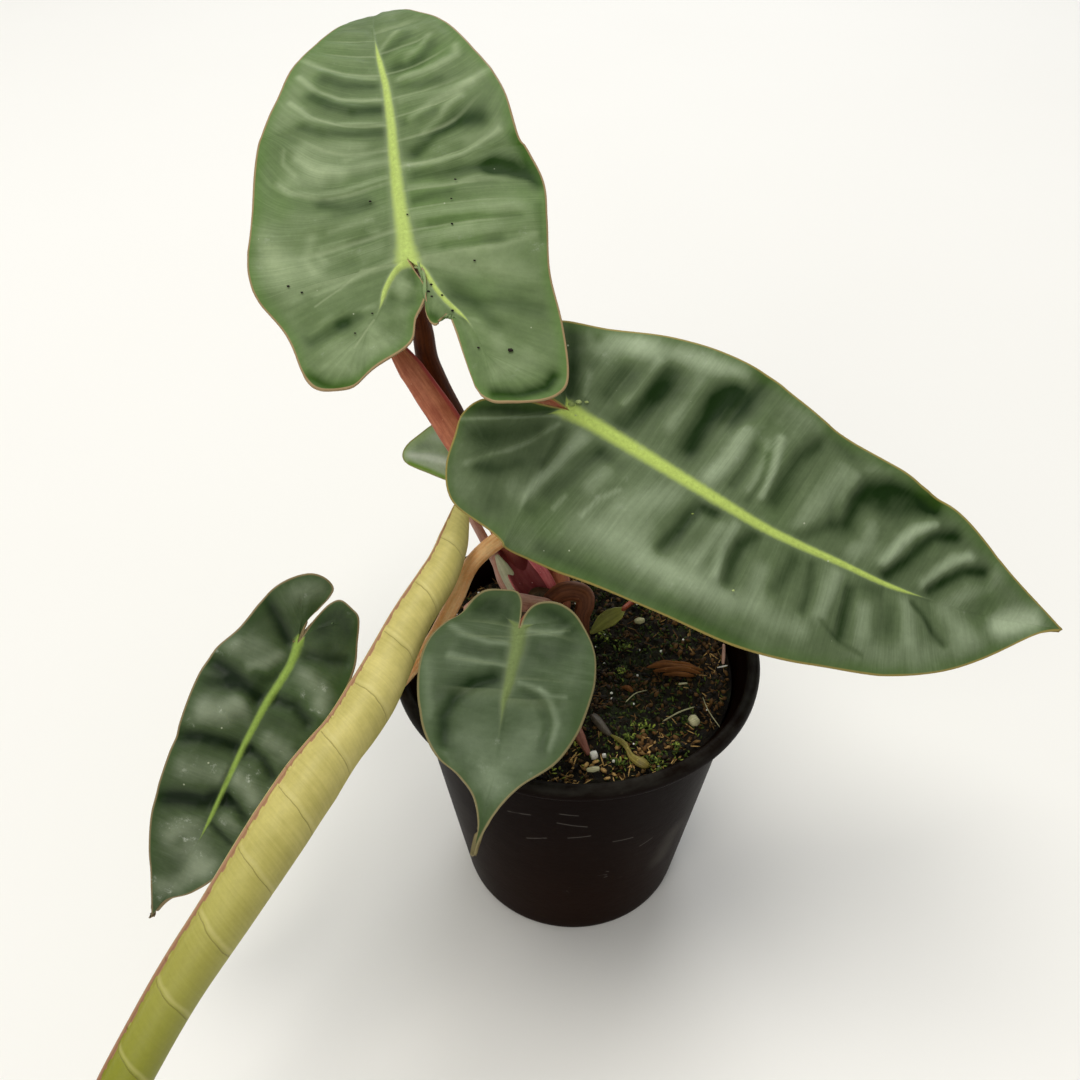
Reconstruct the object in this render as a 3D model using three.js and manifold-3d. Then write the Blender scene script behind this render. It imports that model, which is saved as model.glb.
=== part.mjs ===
import * as THREE from "three";
import { mergeVertices } from "three/addons/utils/BufferGeometryUtils.js";
import Module from "manifold-3d";

// Potted philodendron. Millimetres, +Z up, origin at the middle of the pot's flat base.

const potHeight = 88;
const potRimRadius = 50;
const potBaseRadius = 33;
const lipDepth = 4.5;
const lipWidth = 3;
const wall = 1.2;
const soilLevel = 80;
const drainHoleRadius = 3.5;
const drainHoleCircle = 23;
const stemRadius = 7;
const stemTop = 104;
const stemRoot = 60;
const stemPlace = [-10, 5];
const clearance = 0.3;
const bladeThickness = 0.8;
const midribDepth = 1.1;
const acrossShares = [0, 0.09, 0.3, 0.55, 0.8, 1];

const wasm = await Module();
wasm.setup();

// Closed meshes and booleans

function toSolid(geometry) {
  const bare = geometry.clone();
  bare.deleteAttribute("normal");
  bare.deleteAttribute("uv");
  const merged = mergeVertices(bare, 1e-4);
  return new wasm.Manifold(
    new wasm.Mesh({
      numProp: 3,
      vertProperties: new Float32Array(merged.attributes.position.array),
      triVerts: new Uint32Array(merged.index.array),
    }),
  );
}

function toGeometry(solid) {
  const mesh = solid.getMesh();
  const geometry = new THREE.BufferGeometry();
  geometry.setAttribute("position", new THREE.BufferAttribute(new Float32Array(mesh.vertProperties), 3));
  geometry.setIndex(new THREE.BufferAttribute(new Uint32Array(mesh.triVerts), 1));
  geometry.computeVertexNormals();
  return geometry;
}

function cutAway(solid, cutters) {
  let rest = solid;
  for (const cutter of cutters) {
    rest = rest.subtract(cutter);
  }
  const pieces = rest.decompose();
  pieces.sort((a, b) => b.volume() - a.volume());
  return pieces[0];
}

function indexed(points, faces) {
  const geometry = new THREE.BufferGeometry();
  geometry.setAttribute("position", new THREE.BufferAttribute(new Float32Array(points.flat()), 3));
  geometry.setIndex(faces.flat());
  return geometry;
}

// Round and flattened stalks

function blend(table, u) {
  const at = u * (table.length - 1);
  const low = Math.min(Math.floor(at), table.length - 2);
  return table[low] + (table[low + 1] - table[low]) * (at - low);
}

function ringSection(sides) {
  return Array.from({ length: sides }, (_, k) => {
    const angle = (2 * Math.PI * k) / sides;
    return [Math.cos(angle), Math.sin(angle)];
  });
}

// A section swept along a smooth path. Sizes are spread evenly over its length, and a facing
// direction keeps a flattened section's broad side turned that way.
function loft({ path, width, depth = width, section = ringSection(8), steps = 14, facing }, grow = 0) {
  const curve = new THREE.CatmullRomCurve3(path.map((p) => new THREE.Vector3(...p)), false, "centripetal");
  const frames = curve.computeFrenetFrames(steps, false);
  const count = section.length;
  const points = [];
  const faces = [];
  for (let i = 0; i <= steps; i += 1) {
    const u = i / steps;
    const centre = curve.getPointAt(u);
    const tangent = frames.tangents[i];
    let across = frames.normals[i];
    let outward = frames.binormals[i];
    if (facing) {
      across = tangent.clone().cross(new THREE.Vector3(...facing)).normalize();
      outward = across.clone().cross(tangent).normalize();
    }
    const ends = i === 0 ? -grow : i === steps ? grow : 0;
    for (const [a, b] of section) {
      const x = a * (blend(width, u) + grow);
      const y = b * (blend(depth, u) + grow);
      const point = centre.clone().addScaledVector(across, x).addScaledVector(outward, y);
      points.push(point.addScaledVector(tangent, ends).toArray());
    }
  }
  for (let i = 0; i < steps; i += 1) {
    for (let k = 0; k < count; k += 1) {
      const next = (k + 1) % count;
      const a = i * count + k;
      const b = i * count + next;
      faces.push([a, b, b + count], [a, b + count, a + count]);
    }
  }
  for (let k = 1; k < count - 1; k += 1) {
    faces.push([0, k + 1, k]);
    faces.push([steps * count, steps * count + k, steps * count + k + 1]);
  }
  const solid = toSolid(indexed(points, faces));
  if (solid.volume() > 0) {
    return solid;
  }
  return toSolid(indexed(points, faces.map(([a, b, c]) => [a, c, b])));
}

// Leaf blades

function alongTable(table, y) {
  if (y <= table[0][0]) {
    return table[0].slice(1);
  }
  const above = table.findIndex((row) => row[0] >= y);
  if (above === -1) {
    return table[table.length - 1].slice(1);
  }
  const low = table[above - 1];
  const high = table[above];
  const part = (y - low[0]) / (high[0] - low[0]);
  return low.slice(1).map((value, k) => value + (high[k + 1] - value) * part);
}

// The leaf's flat plane, with y along the midrib from the notch where the stalk meets it and x across,
// bent in space: the midrib follows the spine, and each half leaves it at a fold angle and arches on.
function bentSheet(leaf) {
  const spine = leaf.spine.map((p) => new THREE.Vector3(...p));
  const reach = [0];
  for (let i = 1; i < spine.length; i += 1) {
    reach.push(reach[i - 1] + spine[i].distanceTo(spine[i - 1]));
  }
  const start = reach[leaf.notch];
  const curve = new THREE.CatmullRomCurve3(spine, false, "centripetal");
  const length = reach[reach.length - 1] - start;
  const midrib = (y) => {
    const s = y + start;
    const last = reach.length - 1;
    if (s <= 0 || s >= reach[last]) {
      const end = s <= 0 ? 0 : 1;
      return curve.getPoint(end).addScaledVector(curve.getTangent(end), s - reach[end * last]);
    }
    const above = reach.findIndex((value) => value > s);
    const part = (s - reach[above - 1]) / (reach[above] - reach[above - 1]);
    return curve.getPoint((above - 1 + part) / last);
  };
  const place = (x, y) => {
    const along = midrib(y + 0.5).sub(midrib(y - 0.5)).normalize();
    const across = new THREE.Vector3(...alongTable(leaf.side, y));
    across.addScaledVector(along, -across.dot(along)).normalize();
    const up = across.clone().cross(along);
    const [foldLeft, foldRight] = alongTable(leaf.fold, y);
    const fold = THREE.MathUtils.degToRad(x < 0 ? foldLeft : foldRight);
    const arch = (x < 0 ? leaf.arch[0] : leaf.arch[1]) / 1000;
    const run = Math.abs(x);
    const flat = (Math.sin(fold + arch * run) - Math.sin(fold)) / arch;
    const lift = -(Math.cos(fold + arch * run) - Math.cos(fold)) / arch;
    const [height, pitch, slant] = leaf.wave;
    const ripple = height * (x / 30) ** 2 * Math.sin((2 * Math.PI * (y + slant * x)) / pitch);
    return midrib(y).addScaledVector(across, Math.sign(x) * flat).addScaledVector(up, lift + ripple);
  };
  return { place, length };
}

function flatCurve(list) {
  return new THREE.CatmullRomCurve3(list.map(([x, y]) => new THREE.Vector3(x, y, 0)), false, "centripetal");
}

// Rays of one half: from the basal rib to the notch and lobe edges, then from the midrib to the margin,
// each swept towards the tip as the side veins are. Ribs and midrib stand out below, less and less outwards.
function halfRays(half, length, veinSteps, ribSteps = 3, lobeSteps = 4) {
  const edge = flatCurve(half.edge);
  const last = half.edge.length - 1;
  const [ribEnd, lobeEnd, shoulder] = half.turns.map((index) => index / last);
  const rib = flatCurve(half.rib);
  const mix = THREE.MathUtils.lerp;
  const basalRay = (ribShare, edgeShare) => ({
    from: rib.getPoint(ribShare),
    margin: edge.getPoint(edgeShare),
    share: 0,
    depth: midribDepth * (1 - 0.85 * ribShare),
  });
  const rays = [];
  for (let i = 0; i <= ribSteps; i += 1) {
    rays.push(basalRay(i / ribSteps, mix(0, ribEnd, i / ribSteps)));
  }
  for (let i = 1; i < lobeSteps; i += 1) {
    rays.push(basalRay(1, mix(ribEnd, lobeEnd, i / lobeSteps)));
  }
  for (let i = ribSteps; i >= 0; i -= 1) {
    rays.push(basalRay(i / ribSteps, mix(shoulder, lobeEnd, i / ribSteps)));
  }
  const samples = Array.from({ length: 241 }, (_, i) => edge.getPoint(mix(shoulder, 1, i / 240)));
  const sweep = samples.map((q) => q.y - 0.35 * Math.abs(q.x));
  for (let i = 1; i <= veinSteps; i += 1) {
    const share = i / veinSteps;
    const wanted = mix(sweep[0], length, share);
    const found = sweep.findIndex((value) => value >= wanted - 1e-6);
    const end = i === veinSteps ? new THREE.Vector3(0, length, 0) : samples[found === -1 ? 240 : found];
    rays.push({
      from: new THREE.Vector3(0, share * length, 0),
      margin: end,
      share,
      depth: midribDepth * (1 - 0.95 * share),
    });
  }
  return rays;
}

// How far the skin stands out of the plain bent sheet: puckers between the side veins, highest a third
// of the way across, and a round hollow where the leaf has one.
function relief({ puckers, hollow }, share, across, x, y) {
  const ridge = 0.5 - 0.5 * Math.cos(2 * Math.PI * puckers.count * share);
  const swell = 6.75 * across * (1 - across) ** 2;
  const rise = puckers.height * ridge * swell * Math.min(1, 4 * (1 - share));
  if (!hollow) {
    return rise;
  }
  const off = Math.hypot((x - hollow.at[0]) / hollow.radius[0], (y - hollow.at[1]) / hollow.radius[1]);
  return rise - hollow.depth * (1 - THREE.MathUtils.smoothstep(off, 0.55, 1.15));
}

function bladeSolid(leaf, grow = 0) {
  const sheet = bentSheet(leaf);
  const flat = [];
  const seen = new Map();
  const vertex = (x, y, raised, depth) => {
    const key = `${Math.round(x * 1e4)} ${Math.round(y * 1e4)}`;
    if (!seen.has(key)) {
      seen.set(key, flat.length);
      flat.push({ x, y, raised, depth });
    }
    return seen.get(key);
  };
  const top = [];
  for (const [half, turn] of [[leaf.left, false], [leaf.right, true]]) {
    const rows = halfRays(half, sheet.length, leaf.puckers.rays).map(({ from, margin, share, depth }) => {
      const to = margin.clone().add(margin.clone().sub(from).setLength(grow));
      const bow = to.y > from.y ? -0.08 * from.distanceTo(to) : 0;
      return acrossShares.map((t) => {
        const x = from.x + (to.x - from.x) * t;
        const y = from.y + (to.y - from.y) * t + bow * 4 * t * (1 - t);
        return vertex(x, y, relief(leaf, share, t, x, y), t === 0 ? depth : 0);
      });
    });
    for (let j = 0; j < rows.length - 1; j += 1) {
      for (let k = 0; k < acrossShares.length - 1; k += 1) {
        const quad = [rows[j][k], rows[j][k + 1], rows[j + 1][k + 1], rows[j + 1][k]];
        for (const [a, b, c] of [[quad[0], quad[1], quad[2]], [quad[0], quad[2], quad[3]]]) {
          if (a !== b && b !== c && a !== c) {
            top.push(turn ? [a, b, c] : [a, c, b]);
          }
        }
      }
    }
  }
  const skin = flat.map(({ x, y }) => sheet.place(x, y));
  const normals = skin.map(() => new THREE.Vector3());
  for (const [a, b, c] of top) {
    const normal = skin[b].clone().sub(skin[a]).cross(skin[c].clone().sub(skin[a]));
    for (const corner of [a, b, c]) {
      normals[corner].add(normal);
    }
  }
  const half = bladeThickness / 2 + grow;
  const shifted = (i, by) => skin[i].clone().addScaledVector(normals[i].clone().normalize(), by).toArray();
  const points = [
    ...flat.map(({ raised }, i) => shifted(i, raised + half)),
    ...flat.map(({ raised, depth }, i) => shifted(i, raised - half - depth)),
  ];
  const count = skin.length;
  const faces = [...top, ...top.map(([a, b, c]) => [a + count, c + count, b + count])];
  const edges = new Set(top.flatMap(([a, b, c]) => [`${a} ${b}`, `${b} ${c}`, `${c} ${a}`]));
  for (const edge of edges) {
    const [a, b] = edge.split(" ").map(Number);
    if (!edges.has(`${b} ${a}`)) {
      faces.push([b, a, a + count], [b, a + count, b + count]);
    }
  }
  return toSolid(indexed(points, faces));
}

const topLeaf = {
  spine: [
    [-33, 6, 164], [-39, 24, 176], [-42, 35, 184], [-44, 43, 190], [-47, 56, 198], [-48, 68, 206],
    [-51, 83, 212.5], [-54, 99, 217.5], [-57, 113, 217.5], [-58, 124, 212], [-58, 131, 205],
  ],
  notch: 2,
  side: [[-40, 1, -0.12, 0], [0, 1, -0.1, 0], [60, 1, -0.05, 0.05], [100, 1, 0, 0.12]],
  fold: [[-40, 10, 10], [0, 12, 12], [60, 8, 14], [85, 9, 18], [110, 4, 10]],
  arch: [-8, -8],
  wave: [0, 20, 0],
  puckers: { count: 9, height: 0.7, rays: 18 },
  left: {
    rib: [[0, 0], [-5, -2], [-8, -7], [-12, -16]],
    edge: [
      [0, 0], [1.8, -3.5], [2.8, -7.5], [1.6, -11], [-1.5, -16], [-3.5, -21], [-6, -23.5], [-13, -26.5],
      [-19.5, -29.5], [-24.5, -28.5], [-28, -27], [-29.5, -24], [-31, -13.5], [-37, -3], [-38.5, 4],
      [-38.3, 9], [-35, 22], [-32, 40], [-29.8, 48.5], [-26.8, 56], [-22.3, 65], [-14.7, 80],
      [-8.2, 92], [-3, 103], [0, 110],
    ],
    turns: [6, 11, 13],
  },
  right: {
    rib: [[0, 0], [5, -6], [11, -20], [17, -32]],
    edge: [
      [0, 0], [4, -4], [4.4, -8.5], [3.2, -14.5], [2.7, -17.5], [3.8, -19.2], [5, -17.5], [6.4, -19],
      [8.5, -29], [9.5, -38.5], [11.5, -40.5], [14.5, -43], [23, -45.5], [26.5, -45], [29, -43],
      [32, -29.5], [34, -10], [36.5, 4.5], [37, 13.5], [35.5, 20], [33.5, 25.5], [31.2, 42.5],
      [24.7, 58], [17, 72], [12.5, 84], [8, 95], [3.5, 104.5], [0, 110],
    ],
    turns: [10, 14, 16],
  },
};

const rightLeaf = {
  spine: [
    [-20, 21, 157], [-3, 18, 152], [15, 9, 146], [34, -2, 139], [48, -7, 132], [64, -10, 125],
    [79, -12, 118], [101, -12, 110], [125, -10, 103],
  ],
  notch: 1,
  side: [[-30, -0.25, -0.75, -0.6], [60, -0.3, -0.75, -0.6], [140, -0.25, -0.7, -0.65]],
  fold: [[-30, 8, 8], [140, 8, 8]],
  arch: [-8, -8],
  wave: [0.6, 36, 0.3],
  puckers: { count: 13, height: 1, rays: 26 },
  left: {
    rib: [[0, 0], [-5, -3], [-9, -7], [-12, -11]],
    edge: [
      [0, 0], [-1, -4], [-2, -10], [-4.5, -16], [-9, -19], [-13.5, -19], [-18, -15], [-21.5, -8],
      [-23, -1], [-27, 14], [-32.8, 34.5], [-33, 48.5], [-29, 78], [-28.5, 91], [-23, 107],
      [-14.5, 121.5], [0, 143.5],
    ],
    turns: [3, 6, 8],
  },
  right: {
    rib: [[0, 0], [5, -7], [10, -13], [16, -16]],
    edge: [
      [0, 0], [0.8, -7], [2.5, -14.5], [5, -21.5], [9.5, -24], [16, -24.5], [24, -23.5], [30, -20],
      [36, -11], [38.5, 0], [37.5, 15], [32, 45.5], [29.5, 62.5], [25.5, 82], [16, 109], [1.5, 136],
      [0, 143.5],
    ],
    turns: [3, 7, 9],
  },
};

const leftLeaf = {
  spine: [
    [-67, 2, 104], [-74, -8, 96], [-81, -23, 89], [-88, -35, 79], [-95, -44, 67], [-104, -51, 53],
    [-112, -55, 42],
  ],
  notch: 1,
  side: [[-20, -0.8, 0.15, 0.3], [90, -0.8, 0.1, 0.3]],
  fold: [[-30, 14, 14], [80, 10, 10]],
  arch: [-22, -22],
  wave: [0.6, 28, 0.3],
  puckers: { count: 5, height: 2.2, rays: 20 },
  left: {
    rib: [[0, 0], [-2, -5], [-6, -9]],
    edge: [
      [0, 0], [-0.5, -4], [-0.6, -8.5], [-1.8, -13.5], [-4, -15.5], [-7.5, -15], [-11, -13],
      [-14.5, -7.5], [-16.5, -1.5], [-17.5, 13.5], [-16, 30], [-13.5, 45], [-10, 59], [-5.5, 70.5],
      [-1.5, 78], [0, 83.5],
    ],
    turns: [3, 6, 8],
  },
  right: {
    rib: [[0, 0], [2, -5], [5, -11]],
    edge: [
      [0, 0], [0.8, -5.5], [0.6, -11], [-0.2, -15.5], [0.3, -18.3], [2.5, -19], [6, -18], [10, -14.5],
      [12.5, -9], [16, 4], [18.5, 11], [18.5, 17.5], [16, 35], [14, 52.5], [10, 63], [6, 70.5],
      [0, 83.5],
    ],
    turns: [3, 7, 8],
  },
};

const frontLeaf = {
  spine: [
    [-13, -16, 122], [-15, -23, 116], [-17, -33, 112], [-18, -44, 107], [-20, -55, 102], [-23, -64, 96],
    [-25, -69, 90],
  ],
  notch: 1,
  side: [[-20, -1, 0, 0], [60, -1, 0, 0]],
  fold: [[-30, 8, 8], [40, 6, 6], [54, 0, 0]],
  arch: [-14, -14],
  wave: [0, 20, 0],
  puckers: { count: 3, height: 0.6, rays: 15 },
  hollow: { at: [0.5, 24], radius: [10.5, 10], depth: 1.6 },
  left: {
    rib: [[0, 0], [-4, -2], [-9, -3]],
    edge: [
      [0, 0], [-0.6, -3.5], [-2.5, -6], [-5.5, -7.5], [-8.5, -7.5], [-12.5, -6], [-15.5, -3],
      [-18.5, 1.5], [-20, 7], [-19.5, 15], [-13.5, 30.5], [-6, 38], [-3.5, 42], [-1.3, 48.5], [0, 54.5],
    ],
    turns: [2, 6, 7],
  },
  right: {
    rib: [[0, 0], [4, -2], [9, -3]],
    edge: [
      [0, 0], [0.4, -4], [1, -7], [2.8, -8.5], [8, -8.5], [11.5, -7.5], [14, -5], [16, -1.5],
      [19, 1.5], [21, 6], [22, 10.5], [21, 22], [18.5, 28.5], [14, 35.5], [6.5, 41], [3.5, 44.5],
      [1, 49], [0, 54.5],
    ],
    turns: [3, 7, 8],
  },
};

const backLeaf = {
  spine: [[-43, 40, 117], [-33, 34, 118], [-27, 38, 120], [-19, 44, 123], [-12, 52, 125], [-8, 58, 125]],
  notch: 1,
  side: [[-20, 0.45, -0.75, -0.35], [60, 0.45, -0.75, -0.35]],
  fold: [[-30, 10, 0], [40, 4, 0]],
  arch: [-14, -34],
  wave: [0, 20, 0],
  puckers: { count: 4, height: 0.5, rays: 12 },
  left: {
    rib: [[0, 0], [-3, -6], [-6, -12]],
    edge: [
      [0, 0], [0, -4.5], [0, -9.5], [-0.3, -14.5], [-1.2, -19], [-3, -20.5], [-6, -20], [-10.5, -16.5],
      [-14, -13.5], [-17, -9], [-18.5, -2], [-18, 6], [-16, 14], [-12, 24], [-6, 32], [0, 36],
    ],
    turns: [4, 7, 10],
  },
  right: {
    rib: [[0, 0], [2, 0.8], [4, 2]],
    edge: [
      [0, 0], [1, -0.8], [2.5, -1], [5, -0.3], [8, 2], [10, 6], [11, 12], [10, 18], [8, 24], [4, 31],
      [0, 36],
    ],
    turns: [2, 3, 4],
  },
};

// A leaf still rolled up: its margin overlaps the turn below as a small step round the section.
const rollSection = Array.from({ length: 18 }, (_, k) => {
  const angle = (2 * Math.PI * k) / 18;
  const out = 0.93 + 0.14 * (k / 17);
  return [out * Math.cos(angle), out * Math.sin(angle)];
});

const rolledLeaf = {
  path: [
    [-30, 15.6, 125], [-33.8, 1, 119.8], [-43.8, -21.5, 111.4], [-53.8, -42.8, 104.5], [-64.5, -62, 98.3],
    [-75.2, -78.9, 90.5], [-85.3, -92.7, 81.6], [-94.4, -104.4, 72.1], [-101.5, -114, 63],
    [-108, -123, 53], [-113, -131, 43],
  ],
  width: [1.7, 3.1, 4.3, 5, 5.1, 5.2, 5.8, 6.8, 6.8, 6.5, 6.1, 5.8, 5.5, 5.2, 4.4, 2.9, 0.5],
  section: rollSection,
  facing: [0.5, -0.6, 0.6],
  steps: 26,
};

const creasedSection = [
  [-1, -0.15], [-0.62, 0.7], [0.05, 1], [0.7, 0.55], [1, -0.1], [0.45, -0.75], [-0.5, -0.75],
];

const stalks = {
  stalk_top: {
    path: [
      [-12, 12, 96], [-14, 26, 107], [-20, 35, 117], [-26, 38, 129], [-31, 40, 139], [-35, 40, 150],
      [-39, 40, 161], [-41, 39, 171], [-42, 38.7, 179], [-42.3, 37.4, 184.2],
    ],
    width: [3.4, 3.3, 3.1, 2.8, 2.4, 2.2],
  },
  stalk_right: {
    path: [
      [-5, 9, 98], [-6, 15, 105], [-8, 18, 112], [-11, 23, 127], [-12, 26.5, 140], [-11.5, 27, 147],
      [-9.5, 24.5, 151], [-6, 22, 151.8], [-3, 19.5, 150.6],
    ],
    width: [3.4, 3, 2.8, 2.5, 2.2, 1.9],
  },
  stalk_left: {
    path: [
      [-13, 0, 100], [-15, 4, 110], [-19, 7, 115], [-23, 8, 117], [-28, 6, 116], [-31, 2, 112],
      [-34, -4, 108], [-37, -9, 103], [-41, -16, 98], [-47, -19, 94], [-55, -20, 89], [-64, -17, 87],
      [-70, -12, 90], [-74.6, -9, 94.2],
    ],
    width: [3.6, 3.1, 3, 2.9, 2.7, 2.4, 2.1, 1.8],
    steps: 20,
  },
  stalk_front: {
    path: [[-8, -1, 98], [-10, -8, 107], [-12.5, -16, 112], [-15.3, -24.3, 114.2]],
    width: [2.6, 2.1, 1.7],
    steps: 8,
  },
  stalk_rolled: {
    path: [
      [-10, 7, 100], [-15, 17, 107], [-20, 24, 114], [-25, 27, 120], [-29, 27, 124], [-31.5, 24, 127],
      [-31, 20.5, 127], [-30, 16, 125.2],
    ],
    width: [2.8, 2.4, 2.2, 1.9, 1.7],
  },
  stalk_back: {
    path: [
      [-15, 6, 101], [-20, 8, 105], [-24, 13, 108], [-27, 19, 110], [-30, 25, 113], [-33, 31, 115],
      [-34, 34.5, 117.5],
    ],
    width: [1.5, 1.3, 1.2],
    section: ringSection(6),
  },
};

const sheaths = {
  sheath_red: {
    path: [
      [-13, 8, 102], [-17, 12, 112], [-21, 17, 118], [-27, 23, 130], [-34, 28, 141], [-40, 31, 150],
      [-46, 35, 158], [-52, 39, 165],
    ],
    width: [3.2, 3.9, 3.9, 3.8, 3.4, 0.8],
    depth: [1.8, 1.8, 1.7, 1.5, 1.2, 0.5],
    section: creasedSection,
    facing: [-0.1, -0.75, 0.65],
  },
  sheath_pink: {
    path: [[-8, -2, 106], [-12, -3.5, 109.5], [-16, -4, 111], [-24, -6, 114], [-29, -9, 113]],
    width: [1.9, 2.2, 2, 0.7],
    depth: [1.2, 1.3, 1.2, 0.5],
    section: creasedSection,
    facing: [0, -0.75, 0.65],
    steps: 8,
  },
};

const airRoot = {
  path: [
    [-8, 2, 100], [-6, 0, 104], [-3, 1.5, 107], [1, 2, 107.5], [3, 1, 105], [3, -1, 100], [2.5, -2, 90],
    [2.5, -2, 72],
  ],
  width: [1.6, 1.4, 1.3, 1.2],
  section: ringSection(6),
  steps: 12,
};

const sproutStalk = {
  path: [[17.5, 25.5, 72], [17.5, 25.5, 79], [17, 25, 83], [14.5, 23.5, 86.5], [12, 21.5, 87.5]],
  width: [0.8, 0.7, 0.6],
  section: ringSection(6),
  steps: 8,
};

const sproutLeaf = {
  path: [[13, 22.3, 87.3], [11.5, 21, 87.6], [9, 18.5, 87], [6, 15.5, 85.5], [3, 13, 83.5]],
  width: [0.5, 1.6, 2.6, 2.4, 1.5, 0.3],
  depth: [0.4, 0.4, 0.4, 0.4, 0.4, 0.3],
  section: [[-1, 0.6], [0, 0.2], [1, 0.6], [1, -0.6], [0, -1], [-1, -0.6]],
  facing: [-0.2, -0.5, 0.85],
  steps: 8,
};

const twig = {
  path: [[-1.5, -19.5, 82.4], [0, -24, 82], [2, -29, 81.7], [4, -34, 81.7]],
  width: [0.9, 1.1, 1, 0.6],
  section: ringSection(6),
  steps: 6,
};

// Pot and soil

function turned(profile, sides) {
  const geometry = new THREE.LatheGeometry(profile.map(([r, z]) => new THREE.Vector2(r, z)), sides);
  geometry.rotateX(Math.PI / 2);
  return toSolid(geometry);
}

const wallTopRadius = potRimRadius - lipWidth - 1.6;

function wallRadius(z) {
  return potBaseRadius + (wallTopRadius - potBaseRadius) * (z / (potHeight - lipDepth));
}

function makePot() {
  const shell = turned(
    [
      [0, 0],
      [potBaseRadius - 1, 0],
      [potBaseRadius, 1],
      [wallRadius(potHeight - lipDepth), potHeight - lipDepth],
      [potRimRadius - 0.6, potHeight - lipDepth],
      [potRimRadius, potHeight - lipDepth + 0.8],
      [potRimRadius, potHeight - 1.2],
      [potRimRadius - 0.9, potHeight],
      [potRimRadius - lipWidth + 0.4, potHeight],
      [potRimRadius - lipWidth, potHeight - 0.8],
      [wallRadius(potHeight - lipDepth) - wall + 0.9, potHeight - lipDepth - 1],
      [wallRadius(3) - wall, 3],
      [wallRadius(3) - wall - 1.2, wall + 0.4],
      [0, wall + 0.4],
    ],
    48,
  );
  const holes = Array.from({ length: 6 }, (_, k) => {
    const angle = (Math.PI * (k + 0.5)) / 3;
    const hole = new THREE.CylinderGeometry(drainHoleRadius, drainHoleRadius, 8, 12);
    hole.rotateX(Math.PI / 2);
    hole.translate(drainHoleCircle * Math.cos(angle), drainHoleCircle * Math.sin(angle), 1);
    return toSolid(hole);
  });
  return cutAway(shell, holes);
}

function makeSoil() {
  const low = wall + 0.4 + clearance;
  const inside = (z) => wallRadius(z) - wall - clearance - 0.3;
  return turned(
    [
      [0, low],
      [inside(low) - 1.4, low],
      [inside(4), 4.5],
      [inside(soilLevel), soilLevel],
      [0, soilLevel],
    ],
    40,
  );
}

function makeStem(grow = 0) {
  return loft(
    {
      path: [
        [stemPlace[0], stemPlace[1], stemRoot],
        [stemPlace[0], stemPlace[1], 80],
        [stemPlace[0], stemPlace[1] - 0.5, 92],
        [stemPlace[0], stemPlace[1] - 1, stemTop],
      ],
      width: [stemRadius - 0.6, stemRadius - 0.2, stemRadius, stemRadius, stemRadius - 0.6, stemRadius - 2.4],
      section: ringSection(12),
      steps: 8,
    },
    grow,
  );
}

// The plant, each piece cut clear of those it grows out of or lies against

const colours = {
  pot: [0x1d1c1d, 0.45],
  soil: [0x2b1f17, 0.95],
  stem: [0x5b4630, 0.8],
  leaf: [0x35472f, 0.5],
  young: [0xb3ad4f, 0.5],
  orange: [0xb87a45, 0.55],
  dark: [0x45281c, 0.55],
  red: [0xa5523f, 0.5],
  pink: [0xb9675a, 0.5],
  bark: [0x5a3f2b, 0.9],
};

const plant = new THREE.Group();

function addMesh(name, solid, look) {
  const [color, roughness] = colours[look];
  const material = new THREE.MeshStandardMaterial({ color, roughness, metalness: 0 });
  const mesh = new THREE.Mesh(toGeometry(solid), material);
  mesh.name = name;
  plant.add(mesh);
}

const blades = {
  blade_top: topLeaf,
  blade_right: rightLeaf,
  blade_left: leftLeaf,
  blade_front: frontLeaf,
  blade_back: backLeaf,
};

const nearBlades = Object.values(blades).map((leaf) => bladeSolid(leaf, clearance + 0.1));
nearBlades.push(loft(rolledLeaf, clearance));

addMesh("pot", makePot(), "pot");
const taken = [makeStem(clearance)];

const stalkLooks = {
  stalk_left: "orange",
  sheath_red: "red",
  stalk_rolled: "orange",
  stalk_top: "dark",
  stalk_right: "red",
  sheath_pink: "pink",
  stalk_front: "pink",
  stalk_back: "pink",
};

for (const [name, look] of Object.entries(stalkLooks)) {
  const shape = stalks[name] ?? sheaths[name];
  addMesh(name, cutAway(loft(shape), [...taken, ...nearBlades]), look);
  taken.push(loft(shape, clearance));
}
addMesh("air_root", cutAway(loft(airRoot), [...taken, ...nearBlades]), "bark");
addMesh("sprout", loft(sproutStalk).add(loft(sproutLeaf)), "young");

for (const [name, leaf] of Object.entries(blades)) {
  addMesh(name, bladeSolid(leaf), "leaf");
}
addMesh("blade_rolled", loft(rolledLeaf), "young");
addMesh("stem", makeStem(), "stem");
const standing = [makeStem(clearance), loft(airRoot, clearance), loft(sproutStalk, clearance)];
addMesh("soil", cutAway(makeSoil(), standing), "soil");
addMesh("twig", loft(twig), "bark");

export default plant;
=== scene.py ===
import math
import random

import bmesh
import bpy
import numpy as np
from mathutils import Euler, Matrix, Vector, noise


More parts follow.
